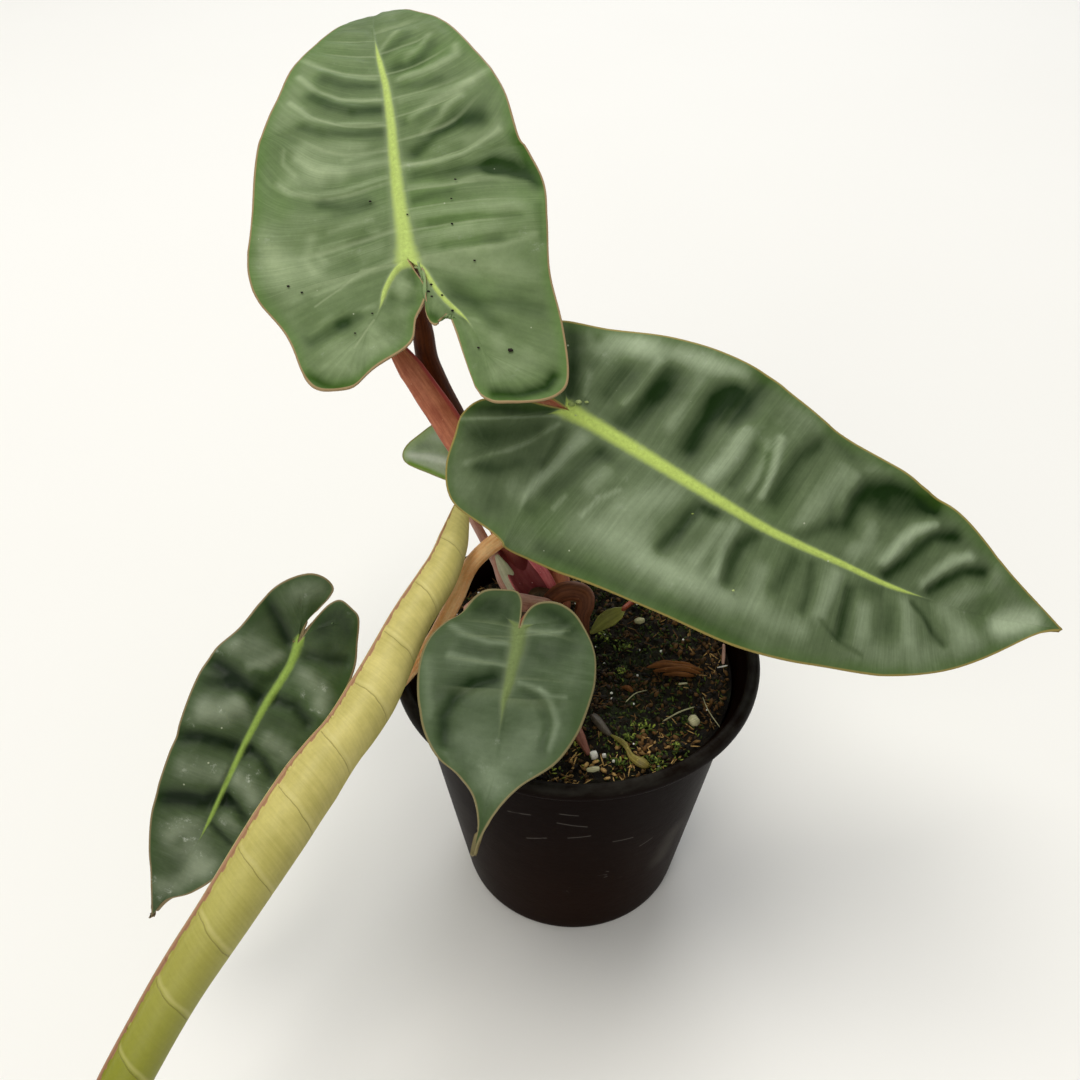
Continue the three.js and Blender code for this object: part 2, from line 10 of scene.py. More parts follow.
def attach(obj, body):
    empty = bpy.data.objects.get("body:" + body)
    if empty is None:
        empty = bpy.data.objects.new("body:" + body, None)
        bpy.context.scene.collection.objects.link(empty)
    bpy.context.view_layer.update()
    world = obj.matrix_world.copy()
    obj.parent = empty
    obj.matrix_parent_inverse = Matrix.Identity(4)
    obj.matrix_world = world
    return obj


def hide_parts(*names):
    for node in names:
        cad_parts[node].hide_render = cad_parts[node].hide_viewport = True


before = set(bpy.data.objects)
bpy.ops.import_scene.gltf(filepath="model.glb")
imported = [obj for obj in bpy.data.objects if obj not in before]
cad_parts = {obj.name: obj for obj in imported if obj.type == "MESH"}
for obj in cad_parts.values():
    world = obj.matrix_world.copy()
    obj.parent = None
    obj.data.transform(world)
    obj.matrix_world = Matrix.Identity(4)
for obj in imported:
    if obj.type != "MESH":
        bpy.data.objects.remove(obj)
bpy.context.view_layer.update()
scene = bpy.context.scene
mm = 0.001
print("frame loaded:", len(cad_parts), "nodes")


def tone(code):  # a display colour such as "6e7f45" as the linear colour that shaders use
    parts = [int(code[at:at + 2], 16) / 255 for at in (0, 2, 4)]
    linear = [part / 12.92 if part < 0.04 else ((part + 0.055) / 1.055) ** 2.4 for part in parts]
    return (*linear, 1.0)


def smooth(value, low, high):  # 0 at low, 1 at high, with soft ends
    part = np.clip((value - low) / (high - low), 0, 1)
    return part * part * (3 - 2 * part)


# Camera, floor and light

view = {
    "place": (-9.977, -214.565, 301.710),
    "down": 39.5,
    "lens": 36.667,
    "sensor": 36,
}

camera = bpy.data.objects.new("camera", bpy.data.cameras.new("camera"))
camera.location = Vector(view["place"]) * mm
camera.rotation_euler = (math.radians(90 - view["down"]), 0, 0)
camera.data.lens = view["lens"]
camera.data.sensor_width = view["sensor"]
camera.data.clip_start = 0.01
camera.data.clip_end = 30
scene.collection.objects.link(camera)
scene.camera = camera

studio = {
    "worldColour": tone("f4f6f7"),
    "worldStrength": 0.4,
    "exposure": 0.0,
    "lights": [  # name, place, size across, watts, colour
        ("top", (-0.5, 0.3, 2.6), 1.9, 42.0, tone("fffcf4")),
        ("back", (0.4, 2.1, 1.5), 1.6, 15.0, tone("fafcff")),
        ("front", (-1.0, -2.2, 1.7), 1.8, 20.0, tone("fff8ee")),
    ],
    "aim": (0, -0.01, 0.1),
    "floorSize": 8,
    "floorDrop": 0.0002,
    "floorColour": "f2f1ee",
}


class Wire:  # the output of a shader node; arithmetic on it adds Math nodes
    def __init__(self, finish, socket):
        self.finish = finish
        self.socket = socket

    def math(self, operation, *values):
        return self.finish.node("ShaderNodeMath", {"operation": operation}, values)

    def also(self, output):  # another output of the same node
        return Wire(self.finish, self.socket.node.outputs[output])

    def __add__(self, other):
        return self.math("ADD", self, other)

    def __radd__(self, other):
        return self.math("ADD", other, self)

    def __sub__(self, other):
        return self.math("SUBTRACT", self, other)

    def __rsub__(self, other):
        return self.math("SUBTRACT", other, self)

    def __mul__(self, other):
        return self.math("MULTIPLY", self, other)

    def __rmul__(self, other):
        return self.math("MULTIPLY", other, self)

    def __truediv__(self, other):
        return self.math("DIVIDE", self, other)

    def __rtruediv__(self, other):
        return self.math("DIVIDE", other, self)


class Finish:  # a material being made
    def __init__(self, name, fixed=None):
        self.material = bpy.data.materials.new(name)
        self.material.use_nodes = True
        self.tree = self.material.node_tree
        self.shader = self.tree.nodes["Principled BSDF"]
        for label, value in (fixed or {}).items():
            self.shader.inputs[label].default_value = value

    def node(self, kind, settings=None, inputs=(), output=0):
        made = self.tree.nodes.new(kind)
        for label, value in (settings or {}).items():
            setattr(made, label, value)
        pairs = inputs.items() if isinstance(inputs, dict) else enumerate(inputs)
        for label, value in pairs:
            if isinstance(value, Wire):
                self.tree.links.new(value.socket, made.inputs[label])
            else:
                made.inputs[label].default_value = value
        return Wire(self, made.outputs[output])

    def feed(self, label, wire):
        self.tree.links.new(wire.socket, self.shader.inputs[label])

    def place(self):  # where a point is on the object, in metres
        return self.node("ShaderNodeTexCoord", output="Object")

    def chart(self):  # across and along the piece, from its own map
        growth = self.node("ShaderNodeUVMap", {"uv_map": "growth"})
        parts = self.node("ShaderNodeSeparateXYZ", inputs=[growth])
        return parts, parts.also("Y")

    def value(self, name):  # a number kept on the mesh
        return self.node("ShaderNodeAttribute", {"attribute_name": name}, output="Fac")

    def vector(self, x, y, z=0.0):
        return self.node("ShaderNodeCombineXYZ", inputs=[x, y, z])

    def noise(self, where, scale, detail=3.0, roughness=0.55, bend=0.0):
        sockets = {"Vector": where, "Scale": scale, "Detail": detail, "Roughness": roughness}
        return self.node("ShaderNodeTexNoise", inputs={**sockets, "Distortion": bend}, output="Fac")

    def dots(self, where, scale, size, share):  # scattered round specks: one in each chosen cell
        cell = self.node("ShaderNodeTexVoronoi", inputs={"Vector": where, "Scale": scale})
        chosen = self.node("ShaderNodeSeparateColor", inputs=[cell.also("Color")])
        return self.fade(cell, size, size * 0.55) * chosen.math("LESS_THAN", chosen, share)

    def fade(self, value, low, high):  # 0 at low, 1 at high
        sockets = {"Value": value, "From Min": low, "From Max": high}
        return self.node("ShaderNodeMapRange", {"interpolation_type": "SMOOTHSTEP"}, sockets)

    def ripple(self, value, pitch, width):  # 1 on lines a pitch apart, 0 between them
        offLine = (value / pitch).math("PINGPONG", value / pitch, 0.5)
        return self.fade(offLine, width, 0.0)

    def segment(self, flat, start, end, wide):  # 1 on a straight line of a map in centimetres, 0 off it
        start, end = (Vector((x / 10, y / 10, 0)) for x, y in (start, end))
        run = end - start
        off = self.node("ShaderNodeVectorMath", {"operation": "SUBTRACT"}, [flat, start])
        share = self.node("ShaderNodeVectorMath", {"operation": "DOT_PRODUCT"}, [off, run], "Value")
        share = share.math("MULTIPLY", share, 1 / run.length_squared)
        share.socket.node.use_clamp = True
        foot = self.node("ShaderNodeVectorMath", {"operation": "SCALE"}, {0: run, "Scale": share})
        gap = self.node("ShaderNodeVectorMath", {"operation": "DISTANCE"}, [off, foot], "Value")
        return self.fade(gap, wide / 10, 0)

    def blend(self, first, second, share):
        return self.node("ShaderNodeMix", {"data_type": "RGBA"}, {0: share, 6: first, 7: second}, 2)

    def tint(self, colour, amount):  # a colour made lighter or darker by a number
        plain = colour[:3] if isinstance(colour, tuple) else colour
        return self.node("ShaderNodeVectorMath", {"operation": "SCALE"}, {0: plain, "Scale": amount})

    def bump(self, height, depth, strength):
        sockets = {"Height": height, "Distance": depth, "Strength": strength}
        return self.node("ShaderNodeBump", inputs=sockets)


def makeStudio():
    scene.view_settings.view_transform = "Standard"
    scene.view_settings.exposure = studio["exposure"]
    world = bpy.data.worlds.new("studio")
    world.use_nodes = True
    sky = world.node_tree.nodes["Background"]
    sky.inputs["Color"].default_value = studio["worldColour"]
    sky.inputs["Strength"].default_value = studio["worldStrength"]
    scene.world = world
    for name, place, size, watts, colour in studio["lights"]:
        lamp = bpy.data.lights.new(name, "AREA")
        lamp.shape = "DISK"
        lamp.size = size
        lamp.energy = watts
        lamp.color = colour[:3]
        holder = bpy.data.objects.new(name, lamp)
        holder.location = place
        holder.rotation_euler = (Vector(studio["aim"]) - Vector(place)).to_track_quat("-Z", "Y").to_euler()
        scene.collection.objects.link(holder)
    finish = Finish("paleFloor", {"Roughness": 0.85, "Specular IOR Level": 0.2})
    cloud = finish.noise(finish.place(), 3.0, 2.0)
    finish.feed("Base Color", finish.blend(tone(studio["floorColour"]), tone("eceae6"), cloud * 0.5))
    bm = bmesh.new()
    bmesh.ops.create_grid(bm, x_segments=4, y_segments=4, size=studio["floorSize"] / 2)
    bmesh.ops.translate(bm, verts=bm.verts, vec=(0, 0, -studio["floorDrop"]))
    mesh = bpy.data.meshes.new("floor")
    bm.to_mesh(mesh)
    bm.free()
    mesh.materials.append(finish.material)
    floor = bpy.data.objects.new("floor", mesh)
    scene.collection.objects.link(floor)


makeStudio()
print("studio ready")


# Smooth lines and skins

def throughPoints(points, shares):  # a centripetal Catmull-Rom line, with equal shares from point to point
    points = np.asarray(points, float)
    padded = np.vstack([2 * points[0] - points[1], points, 2 * points[-1] - points[-2]])
    at = np.clip(shares, 0, 1) * (len(points) - 1)
    index = np.minimum(at.astype(int), len(points) - 2)
    part = (at - index)[:, None]
    before, start, end, after = (padded[index + step] for step in range(4))
    gaps = [np.linalg.norm(b - a, axis=1)[:, None] ** 0.5 + 1e-9
            for a, b in ((before, start), (start, end), (end, after))]
    leave = (start - before) / gaps[0] - (end - before) / (gaps[0] + gaps[1]) + (end - start) / gaps[1]
    arrive = (end - start) / gaps[1] - (after - start) / (gaps[1] + gaps[2]) + (after - end) / gaps[2]
    leave = leave * gaps[1]
    arrive = arrive * gaps[1]
    cubic = 2 * start - 2 * end + leave + arrive
    square = 3 * end - 3 * start - 2 * leave - arrive
    return ((cubic * part + square) * part + leave) * part + start


def evenly(points, shares):  # the same line, with shares of its length
    fine = throughPoints(points, np.linspace(0, 1, 60 * len(points)))
    reach = np.concatenate([[0], np.cumsum(np.linalg.norm(np.diff(fine, axis=0), axis=1))])
    where = np.asarray(shares) * reach[-1]
    return np.stack([np.interp(where, reach, fine[:, axis]) for axis in range(3)], axis=1), reach[-1]


def unit(vectors):
    return vectors / np.linalg.norm(vectors, axis=-1, keepdims=True)


def newSkin(values=()):  # an empty mesh with its map and the numbers its points keep
    bm = bmesh.new()
    bm.loops.layers.uv.new("growth")
    if "thick" in values:
        bm.loops.layers.uv.new("flat")
    for name in values:
        bm.verts.layers.float.new(name)
    if "thick" in values:
        bm.verts.layers.deform.verify()
    return bm


def addGrid(bm, columns, rows, shape):  # shape turns across and along, from 0 to 1, into points and values
    made = bmesh.ops.create_grid(bm, x_segments=columns, y_segments=rows, size=0.5)["verts"]
    spots = np.clip(np.array([vert.co[:2] for vert in made]) + 0.5, 0, 1)
    points, maps, values = shape(spots[:, 0], spots[:, 1])
    maps = {bm.loops.layers.uv[name]: chart for name, chart in maps.items()}
    layers = {name: bm.verts.layers.float[name] for name in values}
    group = bm.verts.layers.deform.active if "thick" in values else None
    for index, vert in enumerate(made):
        vert.co = points[index] * mm
        for loop in vert.link_loops:
            for layer, chart in maps.items():
                loop[layer].uv = chart[index]
        for name, layer in layers.items():
            vert[layer] = values[name][index]
        if group is not None:
            vert[group][0] = values["thick"][index]
    return made


def joinSeams(bm, turn=True):
    gap = 0.004 * mm
    bmesh.ops.remove_doubles(bm, verts=bm.verts, dist=gap)
    bmesh.ops.dissolve_degenerate(bm, edges=bm.edges, dist=gap * 0.1)
    bmesh.ops.delete(bm, geom=[edge for edge in bm.edges if edge.is_wire], context="EDGES")
    bmesh.ops.delete(bm, geom=[vert for vert in bm.verts if not vert.link_faces], context="VERTS")
    if turn:
        bmesh.ops.recalc_face_normals(bm, faces=bm.faces)


def makePiece(name, bm, finishes, stands=()):  # stands names the nodes that the piece stands for
    mesh = bpy.data.meshes.new(name)
    bm.to_mesh(mesh)
    bm.free()
    for finish in finishes:
        mesh.materials.append(finish.material)
    mesh.shade_smooth()
    piece = bpy.data.objects.new(name, mesh)
    scene.collection.objects.link(piece)
    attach(piece, "root")
    if stands:
        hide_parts(*stands)
    print("made", name, len(mesh.polygons), "faces")
    return piece


# Leaf blades: the same bent sheets as the solids, with veins, puckers and margins

straight = [[0, 0, 0]]  # side veins that leave the midrib square

# Across and along are in mm from where the stalk joins; spine points are places in the frame
# In each look, deep is the tone of painted shade in the hollows and pale the tone of painted sheen on the
# ridges.
leaves = {
    "topLeaf": {
        "node": "blade_top",
        "spine": [
            [-33, 6, 164], [-39, 24, 176], [-42, 35, 184], [-44, 43, 190], [-47, 56, 198], [-48, 68, 206],
            [-51, 83, 212.5], [-54, 99, 217.9], [-56.1, 113, 219.4], [-56.8, 124, 216.4], [-59, 132, 207.2],
        ],
        "ease": 0.5,
        "notch": 2,
        "side": [[-40, 1, -0.12, 0], [0, 1, -0.1, 0], [60, 1, -0.05, 0.05], [100, 1, 0, 0.12]],
        "fold": [[-40, 10, 10], [0, 12, 12], [60, 8, 14], [78, 2.6, 10.5], [95, -8, 6.7], [110, -6, -2]],
        "arch": [-8, -8],
        "wave": [0, 20, 0],
        "firm": 0.5,
        "bend": [
            [0, 0], [13, 0.4], [26, 1.1], [36, 0.4], [42, 0.2], [54, 0.5], [66, -0.2], [78, -0.5], [110, 0],
        ],
        "midrib": {
            "half": [[0, 2.5], [5, 1.7], [14, 1.35], [35, 1.0], [60, 0.6], [80, 0.25]],
            "gone": (62, 82), "depth": 1.1,
        },
        "basal": {"half": 0.75, "gone": (0.55, 1.0)},
        "left": {
            "rib": [[0, 0], [-3, -1.8], [-6.5, -6.5], [-9, -11.5], [-13, -16.5]],
            "edge": [
                [0, 0], [1.5, -4.4], [2.7, -7.7], [2.3, -11], [-0.8, -15.2], [-3, -21], [-5.5, -23],
                [-13.5, -26], [-19.5, -29], [-24, -28.5], [-28, -27], [-30, -24], [-32, -13.5],
                [-37.5, -3.5], [-39, 4], [-38.5, 9], [-35.5, 22], [-33, 41], [-30.5, 49], [-27, 56.2],
                [-23.2, 66.1], [-15.1, 77.9], [-7.8, 91.7], [-3.4, 102.5], [0, 110],
            ],
            "turns": [6, 11, 13],
            "puckers": [
                [0, 4, 0.4], [9, 17, 1.0], [23, 29, 0.6], [32, 37, 1.2], [39.5, 45.5, 1.5],
                [48.5, 54.5, 1.5], [57.5, 62.5, 1.3], [65, 69.5, 1.0], [72, 77, 0.7], [80, 90, 0.4],
                [110, 111, 0],
            ],
            "climb": [
                [0, -9.5, 2], [12, -6, 4], [24, -8.5, 13], [30, -7.5, 18], [39, -2.6, 27], [48, -1, 37],
                [56, 5.5, 27], [75, 6, 24],
            ],
        },
        "right": {
            "rib": [[0, 0], [2.6, -2.5], [5.5, -10], [9.5, -18], [11.5, -23], [12.5, -30]],
            "edge": [
                [0, 0], [3.5, -5], [3, -9.5], [1.6, -13.4], [1.9, -17.7], [2.9, -19], [4.5, -18.5],
                [6.5, -17.5], [7.5, -28], [8.5, -39], [11, -42], [15, -43.5], [22.5, -45.5], [26.5, -45],
                [29, -43], [32, -29.5], [33, -13], [35.5, 2.5], [36.5, 11.5], [35, 20.5], [33.7, 27],
                [30.2, 41.2], [24.5, 58.5], [17.8, 74.7], [11.9, 83.4], [7.7, 94.8], [3.5, 104.5], [0, 110],
            ],
            "turns": [10, 14, 16],
            "puckers": [
                [0, 4, 0.5], [8, 11, 0.5], [14, 17.5, 0.6], [19.5, 25, 1.0], [27, 31.5, 1.1], [34, 39, 1.3],
                [41.5, 45.5, 0.9], [48, 54, 1.1], [57.5, 63, 1.1], [66, 72, 0.9], [76, 86, 0.5],
                [110, 111, 0],
            ],
            "climb": [
                [0, -3, 0], [19, -6, 0], [26, -6, 17], [35, 4, 10], [46, -4, 6], [54, -3, 18], [75, 0, 18],
            ],
        },
        "lines": [  # thin pale veins in the lobes
            [-11, -14, -17, -20, 0.5], [-2.5, -0.8, -11.5, -1, 0.9], [-11.5, -1, -17.5, -5, 0.7],
            [-17.5, -5, -24, -8, 0.5],
        ],
        "look": {
            "mid": "61744b", "deep": "1c3606", "pale": "a0b088", "edge": "527a26", "rib": "b4c96f",
            "vein": "9dab84", "veins": 0.4, "margin": "a98d6a", "under": "7d9460",
            "scuffs": 0.5, "fine": 0.9, "gloss": 0.1,
        },
        "size": (54, 250),
    },
    "rightLeaf": {
        "node": "blade_right",
        "spine": [
            [-20, 21, 157], [-3, 18, 152], [15, 9, 146], [34, -2, 139], [48, -7, 132], [64, -10, 125],
            [79, -12, 118], [101, -12, 110], [125, -10, 103],
        ],
        "ease": 0.5,
        "notch": 1,
        "side": [[-30, -0.25, -0.75, -0.6], [60, -0.3, -0.75, -0.6], [140, -0.25, -0.7, -0.65]],
        "fold": [[-30, 8, 8], [140, 8, 8]],
        "arch": [-8, -8],
        "wave": [0.6, 36, 0.3],
        "firm": 0.3,
        "bend": [[0, 0.3], [27, 0.6], [52, 0.2], [64, -0.3], [86, -0.5], [104, -0.8], [143, 0]],
        "midrib": {
            "half": [[0, 1.9], [6, 1.5], [40, 1.1], [80, 0.6], [108, 0.3]],
            "gone": (92, 112), "depth": 1.1,
        },
        "basal": {"half": 0.4, "gone": (0.0, 0.4)},
        "left": {
            "rib": [[0, 0], [-5, -3], [-9, -7], [-12, -11]],
            "edge": [
                [0, 0], [-1, -4], [-2, -10], [-4.5, -16], [-9, -19], [-13.5, -19], [-18, -15], [-21.5, -8],
                [-23.5, -0.5], [-29.5, 13], [-34, 33.5], [-33, 48.5], [-30, 77], [-28.5, 90.5],
                [-24.5, 107.5], [-15, 121.5], [0, 143.5],
            ],
            "turns": [3, 6, 8],
            "puckers": [
                [-2, 3, 1.2], [7, 12.5, 1.8], [18.5, 22.5, 2.4], [34, 40.5, 1.8], [44, 49.5, 2.3],
                [59, 68.5, 2.2], [83, 91.5, 2.8], [103, 108, 2.2], [119, 129, 1.4], [143.5, 144, 0],
            ],
            "climb": [[0, 4, 0], [30, 0, 0], [60, 4, 2], [80, 3, 5], [95, 8, 8], [110, 12, 8]],
        },
        "right": {
            "rib": [[0, 0], [5, -7], [10, -13], [16, -16]],
            "edge": [
                [0, 0], [0.8, -6.2], [1.7, -13.1], [5, -21.5], [10, -24.5], [16, -24.5], [24, -24],
                [31, -20.5], [35.5, -11], [38.5, 1], [37.5, 15.5], [32, 45.5], [29.5, 62.5], [25.5, 82],
                [16.5, 109.5], [2.1, 136.1], [0, 143.5],
            ],
            "turns": [3, 7, 9],
            "puckers": [
                [-4, 1, 0.8], [6, 12, 1.2], [18, 32, 1.6], [40, 46.5, 2.2], [58, 70, 2.0], [80, 88, 1.8],
                [91, 100, 1.8], [105, 116, 1.3], [143.5, 144, 0],
            ],
            "climb": [[0, -12, 0], [20, -3, 0], [60, 0, 0], [85, 2, 0], [100, 10, 0]],
        },
        "lines": [
            [0, 0, 4, -8, 0.6], [4, -8, 8, -15, 0.4], [1, 1, 11, -6.5, 0.35], [11, -6.5, 19, -17.5, 0.3],
            [2, 3, 8, 2, 0.35], [8, 2, 23, 2, 0.3], [0, 0, -6, -6, 0.4],
        ],
        "look": {
            "mid": "596849", "deep": "122805", "pale": "a3b293", "edge": "45661f", "rib": "b3c866",
            "vein": "7c8c68", "veins": 0.1, "margin": "9c8a4c", "under": "71895a",
            "scuffs": 0.35, "fine": 0.6, "gloss": 0.1,
        },
        "size": (54, 260),
    },
    "leftLeaf": {
        "node": "blade_left",
        "spine": [
            [-67, 2, 104], [-74, -8, 96], [-81, -23, 89], [-88, -35, 79], [-95, -44, 67], [-104, -51, 53],
            [-112, -55, 42],
        ],
        "ease": 0.5,
        "notch": 1,
        "side": [[-20, -0.8, 0.15, 0.3], [90, -0.8, 0.1, 0.3]],
        "fold": [[-30, 14, 14], [80, 10, 10]],
        "arch": [-22, -22],
        "wave": [0.6, 28, 0.3],
        "firm": 0.25,
        "bend": [[0, -0.3], [7, -1.2], [12, -0.9], [17, -0.4], [28, -0.1], [83, 0]],
        "midrib": {
            "half": [[0, 1.2], [5, 0.9], [30, 0.6], [50, 0.4], [64, 0.2]],
            "gone": (48, 66), "depth": 0.8,
        },
        "basal": {"half": 0.4, "gone": (0.1, 0.4)},
        "left": {
            "rib": [[0, 0], [-2, -5], [-6, -9]],
            "edge": [
                [0, 0], [-0.2, -4.1], [-0.8, -8.8], [-2.1, -13.4], [-4, -15.5], [-8, -15], [-10.5, -14],
                [-14, -7.5], [-16.5, -1.5], [-17.5, 13.5], [-16, 30], [-13.5, 45], [-10, 59], [-5.5, 70],
                [-1, 76.3], [0, 83.5],
            ],
            "turns": [3, 6, 8],
            "puckers": [
                [1, 14.5, 2.6], [21.5, 28, 2.6], [34.5, 41, 2.5], [46.5, 50.5, 1.9], [55.5, 61, 1.2],
                [70, 76, 0.3], [83.5, 84, 0],
            ],
            "climb": straight,
        },
        "right": {
            "rib": [[0, 0], [2, -5], [5, -11]],
            "edge": [
                [0, 0], [0.8, -5.7], [-0.2, -10.5], [-1.2, -14.9], [-0.8, -17.4], [2, -18.6], [6, -18],
                [10, -14.5], [13, -9], [15.5, 4.5], [18, 11], [18.5, 17.5], [16.5, 35], [14.5, 52.5],
                [10.5, 63.5], [6, 72], [0, 83.5],
            ],
            "turns": [3, 7, 8],
            "puckers": [
                [1, 15.5, 3.2], [23.5, 31, 3.2], [37, 44.5, 3.2], [52, 60, 1.4], [70, 76, 0.3],
                [83.5, 84, 0],
            ],
            "climb": straight,
        },
        "lines": [[2, -2, 7, -5, 0.3]],
        "look": {
            "mid": "415033", "deep": "0b1d04", "pale": "859078", "edge": "2f4c18", "rib": "86a048",
            "vein": "4c5c3c", "veins": 0.1, "margin": "8a7858", "under": "6b8255",
            "scuffs": 1.6, "fine": 0.4, "gloss": 0.16,
        },
        "size": (40, 190),
    },
    "frontLeaf": {
        "node": "blade_front",
        "spine": [
            [-13, -16, 122], [-15, -23, 116], [-17, -33, 112], [-18, -44, 107], [-20, -55, 102],
            [-23, -64, 96], [-25, -69, 90],
        ],
        "ease": 0.5,
        "notch": 1,
        "side": [[-20, -1, 0, 0], [60, -1, 0, 0]],
        "fold": [[-30, 8, 8], [40, 6, 6], [54, 0, 0]],
        "arch": [-14, -14],
        "wave": [0, 20, 0],
        "firm": 0.4,
        "bend": [[0, 0], [6, -0.5], [14, -0.1], [19, 0.9], [28, 1], [37, 0.5], [54, 0]],
        "midrib": {
            "half": [[0, 1.5], [3, 1.35], [12, 0.95], [24, 0.6], [34, 0.3]],
            "gone": (14, 34), "depth": 0.8,
        },
        "basal": {"half": 0.4, "gone": (0.2, 0.6)},
        "left": {
            "rib": [[0, 0], [-4, -2], [-9, -3]],
            "edge": [
                [0, 0], [-0.7, -4], [-2.4, -6.6], [-5.5, -8], [-9, -8], [-12.5, -6.5], [-15.5, -3.5],
                [-18.5, 1], [-20, 6], [-20, 15.5], [-14, 30], [-6, 37.5], [-3.5, 41.5], [-1.3, 48.1],
                [0, 54.5],
            ],
            "turns": [2, 6, 7],
            "puckers": [[-1, 6, 1.0], [13, 15, 0.5], [18, 20, 0], [54.5, 55, 0]],
            "climb": straight,
        },
        "right": {
            "rib": [[0, 0], [4, -2], [9, -3]],
            "edge": [
                [0, 0], [0.3, -4.1], [0.9, -7], [2.3, -8.7], [6, -8.5], [10, -7.5], [12.5, -5], [14.5, -1],
                [18, 2], [21, 6], [22, 11], [21, 20.5], [18.5, 28.5], [13.5, 35.5], [8, 38.5], [3.5, 42],
                [0.6, 48], [0, 54.5],
            ],
            "turns": [3, 7, 8],
            "puckers": [[0, 1.5, 0.4], [4, 7, 0.9], [10, 12, 0.7], [16, 18, 0], [54.5, 55, 0]],
            "climb": straight,
        },
        "lines": [[0, 2, -12, -2, 0.5], [1, 2.5, 11.5, 4.5, 0.5]],
        "look": {
            "mid": "46553a", "deep": "16290b", "pale": "87967a", "edge": "40572a", "rib": "6d7d4b",
            "vein": "75825f", "veins": 0.3, "margin": "857a56", "under": "7b9160",
            "scuffs": 0.4, "fine": 0.25, "gloss": 0.12,
        },
        "size": (40, 170),
    },
    "backLeaf": {
        "node": "blade_back",
        "spine": [
            [-43, 40, 117], [-33, 34, 118], [-27, 38, 120], [-19, 44, 123], [-12, 52, 125], [-8, 58, 125],
        ],
        "ease": 5,
        "notch": 1,
        "side": [[-20, 0.45, -0.75, -0.35], [60, 0.45, -0.75, -0.35]],
        "fold": [[-30, 10, 0], [40, 4, 0]],
        "arch": [-14, -34],
        "wave": [0, 20, 0],
        "firm": 1,
        "bend": [[0, 0], [36, 0]],
        "midrib": {
            "half": [[0, 1.0], [20, 0.6], [36, 0.3]],
            "gone": (24, 34), "depth": 0.6,
        },
        "basal": {"half": 0.35, "gone": (0.2, 0.6)},
        "left": {
            "rib": [[0, 0], [-3, -6], [-6, -12]],
            "edge": [
                [0, 0], [0, -4.5], [0, -9.5], [-0.3, -14.5], [-1.2, -19], [-3, -20.5], [-6, -20],
                [-10.5, -16.5], [-14, -13.5], [-17, -9], [-18.5, -2], [-18, 6], [-16, 14], [-12, 24],
                [-6, 32], [0, 36],
            ],
            "turns": [4, 7, 10],
            "puckers": [[0, 3, 0.6], [8, 11, 0.7], [17, 20, 0.6], [26, 29, 0.4], [36, 37, 0]],
            "climb": straight,
        },
        "right": {
            "rib": [[0, 0], [2, 0.8], [4, 2]],
            "edge": [
                [0, 0], [1, -0.8], [2.5, -1], [5, -0.3], [8, 2], [10, 6], [11, 12], [10, 18], [8, 24],
                [4, 31], [0, 36],
            ],
            "turns": [2, 3, 4],
            "puckers": [[0, 3, 0.5], [8, 11, 0.5], [17, 20, 0.4], [26, 29, 0.3], [36, 37, 0]],
            "climb": straight,
        },
        "lines": [[-1.3, -17.5, -0.9, -11, 1.1], [-0.9, -11, -0.6, -3, 1.1]],
        "look": {
            "mid": "8a9a7c", "deep": "4c5f40", "pale": "c0cbb6", "edge": "8fae4a", "rib": "8aa04f",
            "vein": "6d8f22", "veins": 0.9, "margin": "8f8c4c", "under": "5f8a2c",
            "scuffs": 0.3, "fine": 0.5, "gloss": 0.2,
        },
        "size": (24, 100),
    },
}
